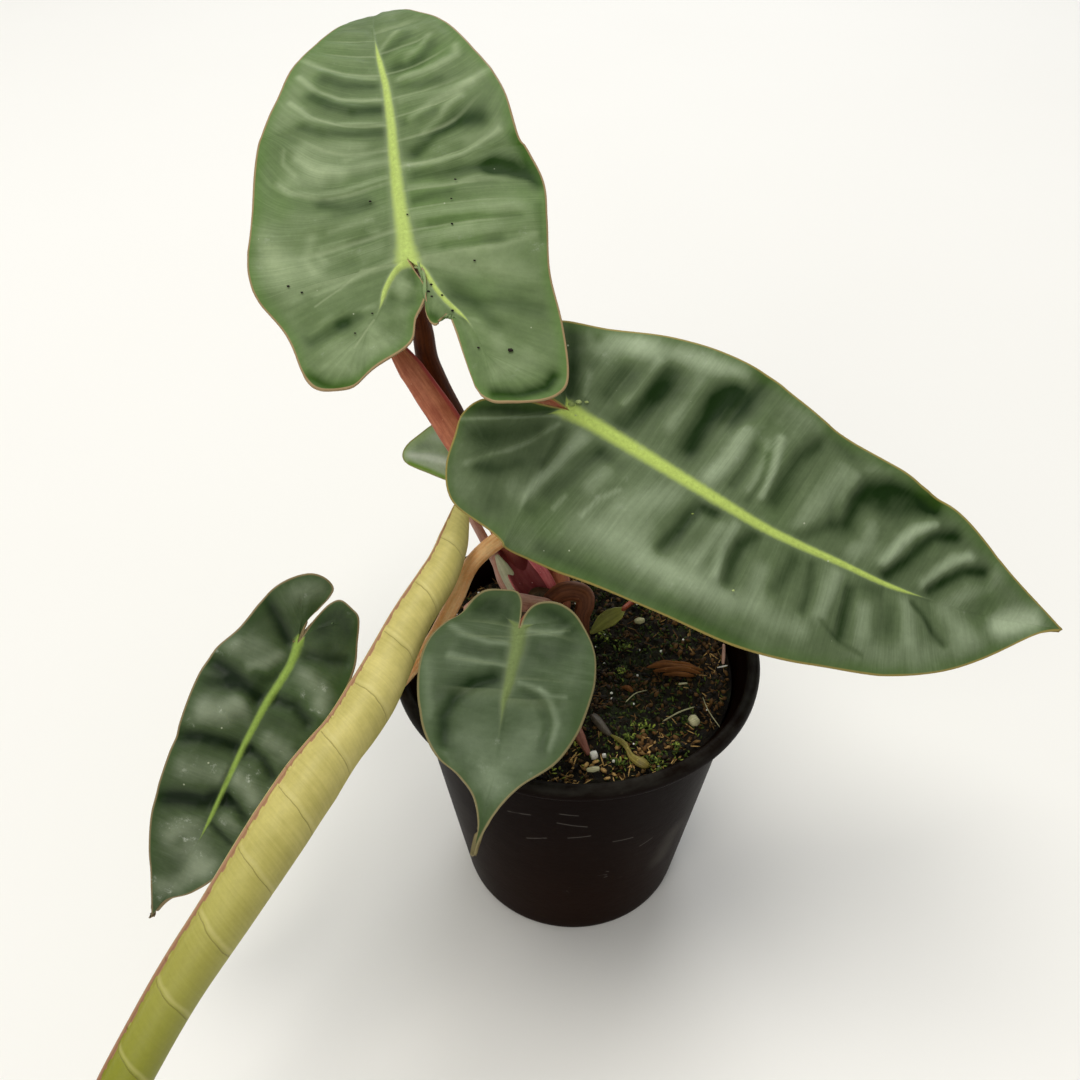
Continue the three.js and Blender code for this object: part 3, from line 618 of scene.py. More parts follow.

# Half width, painted shade (below 0) and painted sheen (above 0), and height of each soft ridge or hollow,
# then its points across and along the leaf
ridges = {
    "topLeaf": [
        [1, 0.5, -0.1, -20.5, 69, -15.5, 63.5, -9.5, 59, -2, 56.5],
        [2.2, -0.65, -0.3, -15, 58.5, -10, 55, -3, 54],
        [1.1, 0.55, 0.2, -21.5, 61, -17.5, 54.5, -12, 50, -2, 48],
        [2.4, -0.8, -0.4, -18.5, 52.5, -14.5, 48, -9, 45, -2.5, 45],
        [1, 0.6, 0.3, -24.5, 52, -20, 45, -14, 41, -2, 39.5],
        [2.2, -0.6, -0.4, -22, 41.5, -16.5, 37.5, -9, 36.5, -2.5, 37.5],
        [3.2, 0.45, 0.3, -21.5, 32.5, -15, 32, -8, 32.5], [0.7, 0.35, 0, -27, 32.5, -27, 29.5, -24, 26.5],
        [1.3, 0.45, 0.2, -23.5, 30, -19, 27, -11.5, 26.5, -1, 28.5],
        [0.8, 0.3, 0, -11.5, 29, -6.5, 30.5, -0.5, 32.5],
        [0.8, 0.5, 0.1, -28.5, 25.5, -25.5, 23, -18.5, 21.5, -12, 21.5, -1.5, 24],
        [2.2, 0.35, 0.2, -20, 28, -13, 25.5], [2, 0.35, 0.1, -25.5, 25.5, -18, 24.5],
        [1.8, -0.5, -0.3, -18.5, 19, -13, 17, -7.5, 17.5],
        [1.3, -0.35, -0.2, -15.5, 15, -11.5, 15, -6, 16.5],
        [0.8, 0.3, 0, -17.5, 10.5, -12.5, 11.5, -7, 12.5], [0.8, 0.3, 0, -20.5, 7, -13, 8, -6, 9],
        [1.8, -0.3, -0.2, -12.5, 6.5, -9, 8], [0.7, 0.35, 0.1, -3, 0.5, -8.5, -1, -16, -4, -23.5, -5.5],
        [1.8, -0.35, -0.2, -19, 0.5, -13.5, 1.5], [1.6, 0.2, 0, -14.5, 4.5, -6, 4.5],
        [0.7, 0.3, 0.1, -10, -11, -16, -11, -22.5, -12, -26.5, -14],
        [2.2, -0.6, -0.4, -18, -13.5, -23, -15, -26.5, -15.5], [1.6, -0.4, -0.2, -14.5, -12.5, -19, -13],
        [3, 0.3, 0.2, -12, -16.5, -10, -21], [1.4, -0.9, -0.8, -29, -24, -26, -27, -23.5, -28.5],
        [1.2, -0.7, -0.5, -21.5, -28.5, -18.5, -29], [1.9, 0.2, 0.1, -24.5, -22.5, -19, -25],
        [1.7, -0.45, -0.3, -5, -10, -3, -11.5, -1, -11], [1.5, 0.25, 0.2, -3, -5, -1, -7],
        [1.1, -0.4, 0, 0.5, -7, 0.5, -3], [3.5, 0.25, 0, -31.5, 7.5, -29.5, -5],
        [1.3, 0.45, 0.2, 14, 67, 11.5, 63, 7, 60], [2, -0.45, -0.2, 8.5, 70, 5, 67.5, 2, 66],
        [1, 0.4, 0.1, 6, 72.5, 2, 69, 0.5, 67], [2.6, -0.6, -0.4, 14, 63, 10.5, 59, 4, 58.5],
        [1.3, 0.5, 0.2, 20.5, 60, 20, 56, 14, 53.5, 4.5, 53.5],
        [1.6, -0.4, -0.2, 14.5, 49.5, 9.5, 49.5, 4, 51.5], [1.2, 0.3, 0.1, 22, 46, 14, 45.5, 3.5, 46.5],
        [1.4, 0.55, 0.3, 28, 48.5, 23.5, 46.5, 17.5, 43.5, 11, 42, 5.5, 39.5],
        [1.4, -0.45, -0.3, 12, 40, 8, 39, 4, 39], [1.1, 0.5, 0.2, 19, 42.5, 15.5, 40.5, 13, 38, 9, 35.5],
        [2.6, -0.85, -0.8, 23.5, 36.5, 17, 36.5, 11.5, 34, 6.5, 30], [2.8, -0.2, 0, 26.5, 42, 21, 38.5],
        [1.1, 0.6, 0.3, 28, 33, 23, 29.5, 18, 25.5, 11.5, 25, 3.5, 26.5],
        [2.3, 0.3, 0.2, 27, 34.5, 20.5, 31], [2, -0.6, -0.3, 24.5, 19.5, 18.5, 20.5, 12, 21, 6, 22.5],
        [2.9, -0.9, -0.6, 25.5, 18.5, 29, 16.5, 32.5, 14], [2, -0.9, -0.3, 32.5, 31, 34.5, 20, 35.5, 11.5],
        [1.1, 0.45, 0.2, 32, 12.5, 21.5, 17, 14, 17, 4, 19.5],
        [1.6, -0.5, -0.2, 13.5, 15, 8.5, 15.5, 4.5, 15.5],
        [1.9, 0.35, 0.2, 29.5, 7, 20, 9.5, 10.5, 11, 4, 11.5], [1, -0.3, -0.1, 29, 4, 17, 7, 7, 8],
        [1.3, 0.3, 0.1, 16.5, 4.5, 9, 5, 4, 5], [1.5, -0.35, -0.2, 23, -1, 16, 0.5, 9.5, 1],
        [1, 0.3, 0.1, 31.5, -2, 22.5, -3, 10.5, -0.5, 4.5, 0],
        [2.3, -0.4, -0.3, 9, -10, 15, -16.5, 24, -21, 28, -23.5],
        [2.2, -0.45, -0.2, 9.5, -13, 13.5, -17.5, 16.5, -24], [3.1, 0.2, 0.1, 21.5, -8.5, 28, -13],
        [1.9, 0.3, 0.2, 12.5, -21.5, 15.5, -25, 16.5, -29.5], [2.8, 0.3, 0.1, 15, -35, 22, -35],
        [1.7, -0.95, -0.9, 12, -40.5, 17.5, -42.5, 24, -42.5, 26.5, -40.5], [1, -0.35, 0, 34, 6, 33, -4],
        [1.3, -0.8, 0, 2.5, -16, 3.5, -17.5], [1.5, -0.15, 0, -35, 20, -36.5, 10],
        [4.7, 0.1, 0, -8.5, 74, -0.5, 73, 7, 76.5], [5.5, 0.45, 0, -31, 4, -20, 0],
        [3, 0.3, 0, -34.5, 14, -33, 7], [2.2, 0.4, 0, -3.5, -7.5, -3.5, -13],
        [4, 0.3, 0, -21, -19.5, -14, -22.5], [4, 0.3, 0, 12, 2.5, 21, 4], [3, -0.4, 0, 26, 21, 31, 18.5],
        [5, 0.25, 0, -20, 62, -27, 46], [1.5, 0.35, 0, -22, 10, -23.5, 6.5],
        [1.2, 0.3, 0, -24.5, 4.5, -23, 1], [1.1, 0.3, 0, -21, 5, -20, 3],
    ],
    "rightLeaf": [
        [2.4, -0.8, -0.5, -19, -4.5, -10, -2.5, -4, -1], [1.4, -0.5, -0.3, -21, -0.5, -13, 0.5],
        [1, 0.3, 0, -18.5, 0, -11.5, 0.5, -5.5, 2], [3.2, -0.5, -0.5, -15.5, 7.5, -9, 6.5],
        [1.2, 0.5, 0.5, -22, 13.5, -12, 12.5, -8, 11.5],
        [3.5, -0.7, -0.8, -21.5, 16.5, -14, 16.5, -8, 15.5, -3, 13.5],
        [2.2, 0.35, 0.5, -22, 24.5, -17, 24.5, -9.5, 24],
        [3.2, -0.85, -1, -26.5, 31, -21, 29.5, -13.5, 30, -7, 30.5],
        [3.6, -0.6, -0.6, -32.5, 36, -25, 35.5, -19, 35.5],
        [2.5, 0.6, 0.8, -17.5, 39.5, -12.5, 40, -7, 39.5, -3, 38.5],
        [1.4, -0.55, -0.5, -15.5, 45, -9.5, 45, -5, 44.5], [1, 0.3, 0.2, -19, 46, -13, 48, -6, 48.5],
        [1, -0.4, -0.3, -16, 48, -9.5, 50, -3.5, 49.5], [1.3, 0.65, 0.7, -21, 48.5, -13.5, 51, -6.5, 52],
        [3.1, -0.7, -0.8, -25.5, 60, -20, 56, -14, 55.5, -7.5, 55.5],
        [2.8, -0.35, -0.3, -29.5, 62.5, -27, 71], [3.1, 0.3, 0.6, -22.5, 70.5, -16, 68.5, -9.5, 66, -4, 65],
        [2, -0.5, -0.4, -8, 71.5, -5, 69, -2.5, 65.5], [1.8, 0.5, 0.7, -22, 74.5, -16.5, 73, -11.5, 73.5],
        [2, 0.35, 0.4, -25, 77, -28, 84, -27.5, 96],
        [4, -0.9, -1.7, -11, 75.5, -16.5, 76, -21, 78.5, -24, 83.5, -26, 92, -25, 100],
        [3.1, -0.5, -0.4, -18, 83, -20.5, 90.5, -23.5, 99.5],
        [1.9, 0.8, 1, -19, 100.5, -16, 94, -12, 91, -5.5, 88.5],
        [3, 0.45, 0.2, -12.5, 81, -7.5, 82.5, -5, 80],
        [2.4, -0.85, -1.3, -18, 108, -16.5, 101, -12.5, 97.5, -7.5, 94, -3, 90.5],
        [1.9, 0.75, 0.8, -13.5, 112, -12, 108.5, -8.5, 105, -4, 101.5],
        [2.1, -0.9, -1, -11, 117.5, -10, 112, -6.5, 107.5, -3, 103.5],
        [2.4, 0.3, 0.2, -12.5, 122, -7, 120, -3, 112], [4.3, -0.25, 0, -3.5, 119.5, -1, 117],
        [2.8, 0.45, 0, -22, 8, -27, 21.5, -29.5, 32], [1.9, 0.25, 0, -20, -4, -25, 6.5],
        [4, 0.2, 0, -30.5, 49, -29.5, 62.5], [2.1, -0.7, -0.3, 9, -28, 5.5, -16.5, 1.5, -4.5],
        [0.7, 0.5, 0, 12, -26, 8, -15.5, 2, -0.5], [3.3, -0.4, 0, 13.5, -21.5, 12, -14.5, 8, -5],
        [1, 0.45, -0.2, 21.5, -19.5, 18, -16, 15, -11, 10.5, -5.5, 4.5, -0.5],
        [1.9, -0.35, -0.3, 21.5, -16.5, 20.5, -12, 17.5, -7.5],
        [1.8, -0.45, -0.3, 5.5, 1, 10, 1.5, 15, 0.5], [3.9, 0.25, 0, 26, -15, 24, -8],
        [2.7, 0.6, 0.6, 5.5, 7, 13, 5, 18, 3, 25, -1], [3.4, -0.5, -0.7, 6, 13, 10.5, 10, 16, 9, 20.5, 7],
        [2.1, -0.25, -0.2, 6.5, 18.5, 5.5, 12.5], [2.2, 0.4, 0.4, 9, 16.5, 14.5, 15.5],
        [0.7, 0.4, 0, 11.5, 22, 16, 19, 22, 17.5], [0.8, 0.35, 0, 20, 11.5, 24, 10.5],
        [1.8, -0.3, -0.2, 27, 3, 27, 6], [3.9, 0.35, 0.3, 16, 25, 9.5, 30, 6, 33],
        [3.9, 0.25, 0, 22.5, 23.5, 18.5, 32.5],
        [2.1, -0.8, -1, 3.5, 44.5, 4, 40.5, 7.5, 39.5, 11.5, 39.5, 18, 38.5],
        [1.9, 0.35, 0.3, 5.5, 47, 10, 47, 16.5, 46], [1.4, 0.5, 0.5, 3.5, 50, 9.5, 50, 17, 51.5],
        [2.1, -0.7, -1.1, 3, 55.5, 7, 53.5, 11.5, 53.5, 16.5, 54.5], [2.7, 0.35, -0.3, 10, 60, 17.5, 61.5],
        [2.4, -0.5, -0.6, 4, 66.5, 8.5, 65.5, 12.5, 64.5], [1.5, -0.5, -0.5, 3, 71, 9.5, 72, 14.5, 72],
        [2.3, 0.5, 0.7, 3, 77.5, 8.5, 77, 14, 76.5], [2, -0.7, -1.1, 5, 82.5, 10, 83, 16, 84],
        [2.1, -0.35, -0.3, 2.5, 86, 2, 90], [2.5, 0.4, -0.2, 8, 87.5, 13, 88.5],
        [2.1, -0.3, -0.4, 5, 94, 10, 94.5], [2.3, 0.4, 0.5, 2.5, 97.5, 11, 100],
        [1, -0.6, -0.6, 1.5, 99.5, 3.5, 102.5, 7, 106, 9.5, 109.5], [3.2, 0.3, 0.2, 1, 108.5, 5, 113.5],
        [3.6, 1.1, 0, 1.5, 124.5, -1, 134], [0.7, -0.3, -0.2, 15, 77, 18, 84.5, 18.5, 90],
        [2.3, -0.4, 0, 34, 13, 32.5, 30.5, 29, 49, 28, 62],
        [3, 0.3, 0, 23.5, 36, 21, 50, 20, 63.5, 19.5, 73],
        [3.2, 0.25, 0, 17.5, 89.5, 13.5, 103.5, 7, 116.5], [5, -0.25, 0, -14, 14, -24, 36],
        [3.2, 0.5, 0, -18, -0.5, -25, 9], [3, 0.3, 0, -27, 16, -31, 30], [5, 0.3, 0, 24, 20, 20, 55],
        [4, -0.35, 0, 28, -12, 15, -18],
    ],
    "leftLeaf": [
        [1.9, -0.8, -0.9, 13, -6, 7.5, -3, 2.5, 0.5], [2.5, -0.4, -0.2, 15, 3, 13.5, -1],
        [4.1, 0.4, 1, 12.5, 7.5, 7, 6], [1.8, 0.5, 0.4, 7.5, 11.5, 4.5, 9, 2.5, 5],
        [2, 0.3, 0.2, 18, 11, 14, 8], [1.5, -0.4, -0.3, -1, 9, 2.5, 12.5, 5.5, 12],
        [2.8, -1, -1.5, 16.5, 13.5, 11.5, 14.5, 6.5, 16, 2.5, 17], [2, -0.5, -0.3, 16, 19, 10, 17.5],
        [3.4, 0.9, 1.7, 12.5, 25, 8, 23.5, 6, 21], [2.3, -1, -1.5, 16, 34, 11, 31.5, 4.5, 30.5, 0, 30.5],
        [3.3, 0.45, 1.6, 11, 39.5, 6, 38.5, 1.5, 38.5],
        [2.9, -1.1, -1.5, 13, 50, 8, 47.5, 3, 46, -0.5, 43.5], [2.4, 0.35, 0.3, 7, 58, 6, 54.5, 3, 52],
        [3.2, 0.6, 0.3, 3, 73, -1.5, 70.5, -4, 63.5], [4.5, 0.65, 0, 4, 57, -3, 62],
        [3, -0.4, 0, -5, -5, -8.5, -3], [1.6, -0.4, -0.2, 4, 57.5, 4, 59],
        [3.7, 0.4, 0.6, 6.5, -12, 2.5, -16], [3.7, -0.6, -0.2, -2, -8, -6, -12, -10.5, -9.5],
        [1.9, -0.6, -0.8, -4, 1.5, -9.5, 0, -13.5, -2], [3.1, 0.55, 1.4, -6, 7, -11, 8.5, -13.5, 10.5],
        [1.8, 0.4, 0.2, -12.5, 12.5, -14.5, 13.5], [2, -0.8, -1.3, -2.5, 15.5, -7.5, 15, -12, 17.5],
        [2.5, -0.2, 0.2, -4.5, 20.5, -8.5, 20], [2.5, 0.45, 1, -5.5, 25.5, -10, 26, -11.5, 27],
        [1.5, -0.8, -1.1, -2, 29.5, -6, 30.5, -10, 33.5], [2.3, 0.65, 1.2, -3, 37.5, -5.5, 38, -8.5, 40.5],
        [1.5, -0.8, -1, -1.5, 44, -4.5, 44, -8, 46.5], [1.8, 0.45, 0.7, -3.5, 48, -7, 48.5],
        [1, -0.7, -0.5, -1, 51, -4.5, 52.5, -7.5, 53.5], [1.7, 0.2, 0, 6, 19.5, 1, 24],
        [1.8, 0.3, 0.2, -6.5, 65.5, -6.5, 60.5],
    ],
    "frontLeaf": [
        [2.9, -0.65, -0.6, 10.5, -3.5, 7, -3.5], [1.2, -0.35, -0.2, 3.5, -1, 3.5, -3.5],
        [0.9, 0.5, 0.2, 16.5, 2.5, 13.5, 4, 10, 4.5, 6, 5, 2, 4.5], [1.5, -0.4, -0.3, 12, 7, 7, 7.5, 3, 7],
        [1, 0.5, 0.3, 15, 9.5, 10, 10, 5, 10, 1, 10],
        [2.2, -0.35, -0.2, 16, 17.5, 11.5, 14.5, 4.5, 12, 1, 12.5],
        [1.8, 0.35, 0, 20.5, 11, 19, 17, 18, 24],
        [1.9, -0.85, -0.9, 13.5, 31, 14.5, 24, 12.5, 18.5, 8, 15, 4, 13.5],
        [5.1, 0.25, -1.6, 7.5, 28, 2, 34.5], [4.6, 0.15, -1.5, -5, 25, -4.5, 28.5],
        [1.4, -0.35, -0.4, -9.5, 28.5, -10, 22.5, -7.5, 18.5, -4, 16],
        [1.1, 0.4, 0.4, -2.5, 14, -7.5, 16, -10.5, 19, -12, 23, -11, 28.5],
        [3.3, 0.35, 0, 1.5, 37, -2, 39.5], [2.6, -0.7, -0.3, -5, -6, -9, -5.5, -12, -3.5],
        [1, 0.55, 0.3, -2.5, 0.5, -6.5, 0, -10, -1, -13, -4], [1.2, 0.3, 0, -2, -2.5, -0.5, -0.5],
        [3.1, -0.35, -0.7, -5, 4.5, -8.5, 5.5, -13, 3], [0.7, 0.4, 0.2, -7.5, 15.5, -10, 17, -13.5, 17],
        [2.8, 0.2, 0, -9.5, 11.5, -14.5, 12], [1.8, -0.15, 0, -18.5, 14.5, -16.5, 23.5],
        [1.5, 0.2, 0.3, 9, 37.5, 14, 31.5], [1.1, -0.3, 0, 0.5, 46.5, -1, 50.5],
        [1.5, -0.2, 0, 3.5, -6.5, 3.5, -9],
    ],
    "backLeaf": [
        [8, 0.4, 0, -9, -8, -7, -8], [1.1, 0.9, 0.3, -3.5, -19, -4.5, -10, -5.5, -3, -7, 6],
        [2, -0.5, -0.3, -7, -16, -8.5, -6],
    ],
}

blade = {
    "turns": (0.10, 0.19, 0.29),  # rows end on the basal rib, then the lobe, then the midrib's foot
    "spread": 1.3,  # rows of points lie closer together near the rib
    "thickness": 0.6,
    "sway": 0.35,
    "bow": 0.08,
    "sunk": 0.5,
    "ribRise": 0.12,
    "strokeFall": 1.15,
    "strokeLift": 0.8,
    "far": 99.0,
}


def bentSheet(leaf):  # where a point across and along the leaf lies, and which way its upper side faces
    spine = np.array(leaf["spine"], float)
    reach = np.concatenate([[0], np.cumsum(np.linalg.norm(np.diff(spine, axis=0), axis=1))])
    start = reach[leaf["notch"]]
    length = reach[-1] - start
    side = np.array(leaf["side"], float)
    fold = np.array(leaf["fold"], float)
    height, pitch, slant = leaf["wave"]

    def midrib(y):
        where = y + start
        shares = np.interp(where, reach, np.linspace(0, 1, len(reach)))
        line = throughPoints(spine, shares)
        past = where - np.clip(where, 0, reach[-1])
        first = unit(throughPoints(spine, np.array([0.0, 1e-4]))[1] - spine[0])
        last = unit(spine[-1] - throughPoints(spine, np.array([1 - 1e-4]))[0])
        return line + np.where(past[:, None] < 0, first, last) * past[:, None]

    def place(x, y):
        along = unit(midrib(y + leaf["ease"]) - midrib(y - leaf["ease"]))
        across = np.stack([np.interp(y, side[:, 0], side[:, axis]) for axis in (1, 2, 3)], axis=1)
        across = unit(across - along * (across * along).sum(axis=1, keepdims=True))
        up = np.cross(across, along)
        left = x < 0
        leftFold, rightFold = (np.interp(y, fold[:, 0], fold[:, axis]) for axis in (1, 2))
        angle = np.radians(np.where(left, leftFold, rightFold))
        arch = np.where(left, leaf["arch"][0], leaf["arch"][1]) / 1000
        turn = angle + arch * abs(x)
        flat = (np.sin(turn) - np.sin(angle)) / arch
        lift = -(np.cos(turn) - np.cos(angle)) / arch
        lift = lift + height * (x / 30) ** 2 * np.sin(2 * np.pi * (y + slant * x) / pitch)
        sign = np.where(left, -1.0, 1.0)
        spot = midrib(y) + across * (sign * flat)[:, None] + up * lift[:, None]
        lean = turn * smooth(abs(x), 0, 4)
        facing = up * np.cos(lean)[:, None] - across * (sign * np.sin(lean))[:, None]
        return spot, facing

    return place, length


def strokes(table, x, y):  # painted shade and sheen, and height, that the soft ridges and hollows give each point
    shade, height = np.zeros_like(x), np.zeros_like(x)
    for wide, tint, lift, *line in table:
        gap = np.full_like(x, blade["far"])
        for index in range(0, len(line) - 2, 2):
            startX, startY, endX, endY = line[index:index + 4]
            runX, runY = endX - startX, endY - startY
            share = np.clip(((x - startX) * runX + (y - startY) * runY) / (runX ** 2 + runY ** 2), 0, 1)
            gap = np.minimum(gap, np.hypot(x - startX - share * runX, y - startY - share * runY))
        weight = np.exp(-blade["strokeFall"] * (gap / wide) ** 2)
        shade += tint * weight
        height += blade["strokeLift"] * lift * weight
    return shade, height


def veinStation(climb, x, y):  # where the side vein through a point leaves the midrib
    out = abs(x) / 30
    station = y
    for step in range(10):
        first, third = (np.interp(station, climb[:, 0], climb[:, column]) for column in (1, 2))
        station = 0.5 * station + 0.5 * (y - first * out - third * out ** 3)
    return station


def leafHalf(leaf, half, relief, sheet, length, seed):  # rows run from the rib to the edge, lobe first
    fine = np.linspace(0, 1, 1201)
    edgeLine = throughPoints([[x, y, 0] for x, y in half["edge"]], fine)[:, :2]
    ribLine = throughPoints([[x, y, 0] for x, y in half["rib"]], fine)[:, :2]
    last = len(half["edge"]) - 1
    ribEnd, lobeEnd, shoulder = (turn / last for turn in half["turns"])
    tail = fine >= shoulder
    sweep = edgeLine[tail, 1] - blade["sway"] * abs(edgeLine[tail, 0])
    sweep = np.maximum.accumulate(sweep + np.linspace(0, 1e-6, tail.sum()))
    inner, lobe, outer = blade["turns"]
    puckers = np.array(half["puckers"], float)
    climb = np.array(half["climb"], float)
    widths = np.array(leaf["midrib"]["half"], float)
    bend = np.array(leaf["bend"], float)

    def along(line, shares):
        return np.stack([np.interp(shares, fine, line[:, axis]) for axis in (0, 1)], axis=1)

    def shape(u, v):
        t = u ** blade["spread"]
        ribShare = np.interp(v, [0, inner, lobe, outer, 1], [0, 1, 1, 0, 0])
        midShare = np.clip((v - outer) / (1 - outer), 0, 1)
        wanted = sweep[0] + (length - sweep[0]) * midShare
        onLobe = np.interp(v, [0, inner, lobe, outer], [0, ribEnd, lobeEnd, shoulder])
        edgeShare = np.where(v < outer, onLobe, np.interp(wanted, sweep, fine[tail]))
        foot = along(ribLine, ribShare)
        aside = np.interp(midShare * length, bend[:, 0], bend[:, 1])
        foot[:, 0] += aside * smooth(v, outer - 0.01, outer + 0.03)
        foot[:, 1] += midShare * length
        margin = along(edgeLine, edgeShare)
        span = np.linalg.norm(margin - foot, axis=1)
        flat = foot + (margin - foot) * t[:, None]
        flat[:, 1] -= blade["bow"] * span * 4 * t * (1 - t) * np.clip((margin - foot)[:, 1] / 6, 0, 1)
        x, y = flat.T
        spot, facing = sheet(x, y)

        station = veinStation(climb, x, y)
        cell = np.clip(np.searchsorted(puckers[:, 0], station, "right") - 1, 0, len(puckers) - 2)
        valley, peak, height = puckers[cell].T
        after = puckers[cell + 1, 0]
        ridge = np.where(station < peak, smooth(station, valley, peak), 1 - smooth(station, peak, after))
        swell = smooth(t, 0.02, 0.3) * (1 - smooth(t, 0.5, 0.95)) * smooth(v, outer - 0.02, outer + 0.05)
        swell = swell * (1 - smooth(midShare, 0.85, 1))
        wander = np.array([noise.fractal(Vector((a * 0.11, b * 0.11, seed)), 1.0, 2.0, 3) for a, b in flat])
        rise = leaf["firm"] * height * (ridge - blade["sunk"]) * swell * (1 + 0.5 * wander)
        rise = rise + 0.45 * wander * smooth(t, 0, 0.3) * (1 - smooth(t, 0.8, 1))
        shade, lift = strokes(relief, x, y)
        gone = smooth(midShare * length, *leaf["midrib"]["gone"]) + smooth(ribShare, *leaf["basal"]["gone"])
        rise = rise + lift * (1 - (1 - smooth(t, 0.0, 0.12)) * (1 - np.minimum(gone, 1)))

        fromRib = span * t * 0.85
        ribHalf = np.interp(midShare * length, widths[:, 0], widths[:, 1])
        basal = leaf["basal"]["half"]
        basalHalf = basal * (1 - 0.5 * ribShare) + (widths[0, 1] - basal) * (1 - ribShare) ** 8
        ribHalf = np.where(v < outer, basalHalf, ribHalf)
        onRib = (1 - smooth(fromRib, ribHalf * 0.4, ribHalf * 1.15)) * (1 - 0.8 * np.minimum(gone, 1))
        ribTop = 0.22 * np.maximum(ribHalf * 1.1 - fromRib, 0) * (1 - np.minimum(gone, 1))
        skin = spot + facing * (rise + ribTop + blade["ribRise"] * onRib)[:, None]
        keel = leaf["midrib"]["depth"] * onRib
        values = {
            "ribs": np.minimum(fromRib / ribHalf, 6) + 2.5 * gone,
            "margins": np.minimum(span * (1 - t), 30),
            # painted shade in the hollows and painted sheen on the ridges: the ridges table, plus the
            # puckers' own rise and fall
            "paintedShades": np.clip(shade, -1.2, 1.2) + 0.35 * leaf["firm"] * (ridge - blade["sunk"]) * swell,
            "thick": (blade["thickness"] + keel) / (blade["thickness"] + leaf["midrib"]["depth"]),
        }
        cells = cell + np.clip((station - valley) / (after - valley), 0, 1)
        growth = np.stack([t, np.where(v < outer, (v - outer) * 3, cells)], axis=1)
        return skin, {"growth": growth, "flat": flat / 10}, values

    return shape


def leafFinish(name, leaf, seed):
    look = leaf["look"]
    finish = Finish(name, {"Specular IOR Level": look["gloss"]})
    across, along = finish.chart()
    flat = finish.node("ShaderNodeUVMap", {"uv_map": "flat"})
    spot = finish.place()
    ribs = finish.value("ribs")
    margins = finish.value("margins")
    paintedShades = finish.value("paintedShades")
    cloud = finish.noise(spot, 60.0, 4.0, 0.6)
    grain = finish.noise(spot, 1000.0, 4.0, 0.7)
    streaks = finish.noise(finish.vector(across * 1.8, along * 9.0, float(seed)), 1.0, 4.0, 0.6)
    fine = finish.noise(finish.vector(across * 1.5, along * 34.0, float(seed) + 5), 1.0, 3.0, 0.6)
    fine = (fine - 0.5) * look["fine"]
    mottle = 0.82 + cloud * 0.3 + streaks * 0.2 + fine * 0.35
    colour = finish.tint(tone(look["mid"]), mottle)
    fresh = finish.noise(spot, 28.0, 3.0, 0.55)
    young = finish.tint(tone(look["edge"]), mottle)
    colour = finish.blend(colour, young, finish.fade(fresh, 0.48, 0.7) * 0.28)
    # painted shade towards the deep tone and painted sheen towards the pale tone, from the painted shade
    # value the mesh keeps, with random tone from the noises
    depth = paintedShades * 1.15 + (cloud - 0.5) * 0.5 + (streaks - 0.5) * 0.35 + fine * 0.35
    colour = finish.blend(colour, tone(look["deep"]), depth * -0.95)
    colour = finish.blend(colour, finish.tint(tone(look["pale"]), 1.0 + fine * 0.4), depth * 0.85)
    colour = finish.blend(colour, tone(look["edge"]), finish.fade(margins + cloud * 5.0, 6.5, 1.5) * 0.5)
    lines = finish.ripple(along + (streaks - 0.5) * 0.06, 1.0, 0.09) * finish.fade(across, 0.9, 0.45)
    for startX, startY, endX, endY, wide in leaf["lines"]:
        lines = lines.math("MAXIMUM", lines, finish.segment(flat, (startX, startY), (endX, endY), wide))
    lines = lines * finish.fade(cloud, 0.2, 0.55)
    colour = finish.blend(colour, tone(look["vein"]), lines * look["veins"])
    ribMask = finish.fade(ribs + (grain - 0.5) * 0.8, 1.6, 0.4)
    colour = finish.blend(colour, tone(look["vein"]), finish.fade(ribs, 2.4, 1.0) * 0.3)
    colour = finish.blend(colour, finish.tint(tone(look["rib"]), 0.75 + grain * 0.5), ribMask)
    rim = finish.fade(margins + (cloud - 0.5) * 0.4, 0.65, 0.25)
    colour = finish.blend(colour, tone(look["margin"]), rim * 0.9)
    scuffs = finish.fade(finish.noise(spot, 240.0, 6.0, 0.8), 0.56, 0.74)
    scuffs = scuffs * finish.fade(cloud + paintedShades * 0.25, 0.52, 0.75)
    colour = finish.blend(colour, tone("b9c0b2"), scuffs * (0.6 * look["scuffs"]))
    colour = finish.blend(colour, tone("c4cbb0"), finish.dots(spot, 330.0, 0.1, 0.04) * 0.6)
    finish.feed("Base Color", finish.tint(colour, 0.86 + grain * 0.28))
    finish.feed("Roughness", 0.38 + grain * 0.14 + ribMask * 0.15 + scuffs * 0.25)
    threads = finish.noise(finish.vector(across * 5.0, along * 30.0, float(seed) + 3), 1.0, 3.0, 0.6)
    relief = grain * 0.15 + threads * 0.3 - lines * 0.6 + finish.noise(spot, 260.0, 4.0) * 0.6
    finish.feed("Normal", finish.bump(relief, 0.0003, 0.5))
    return finish


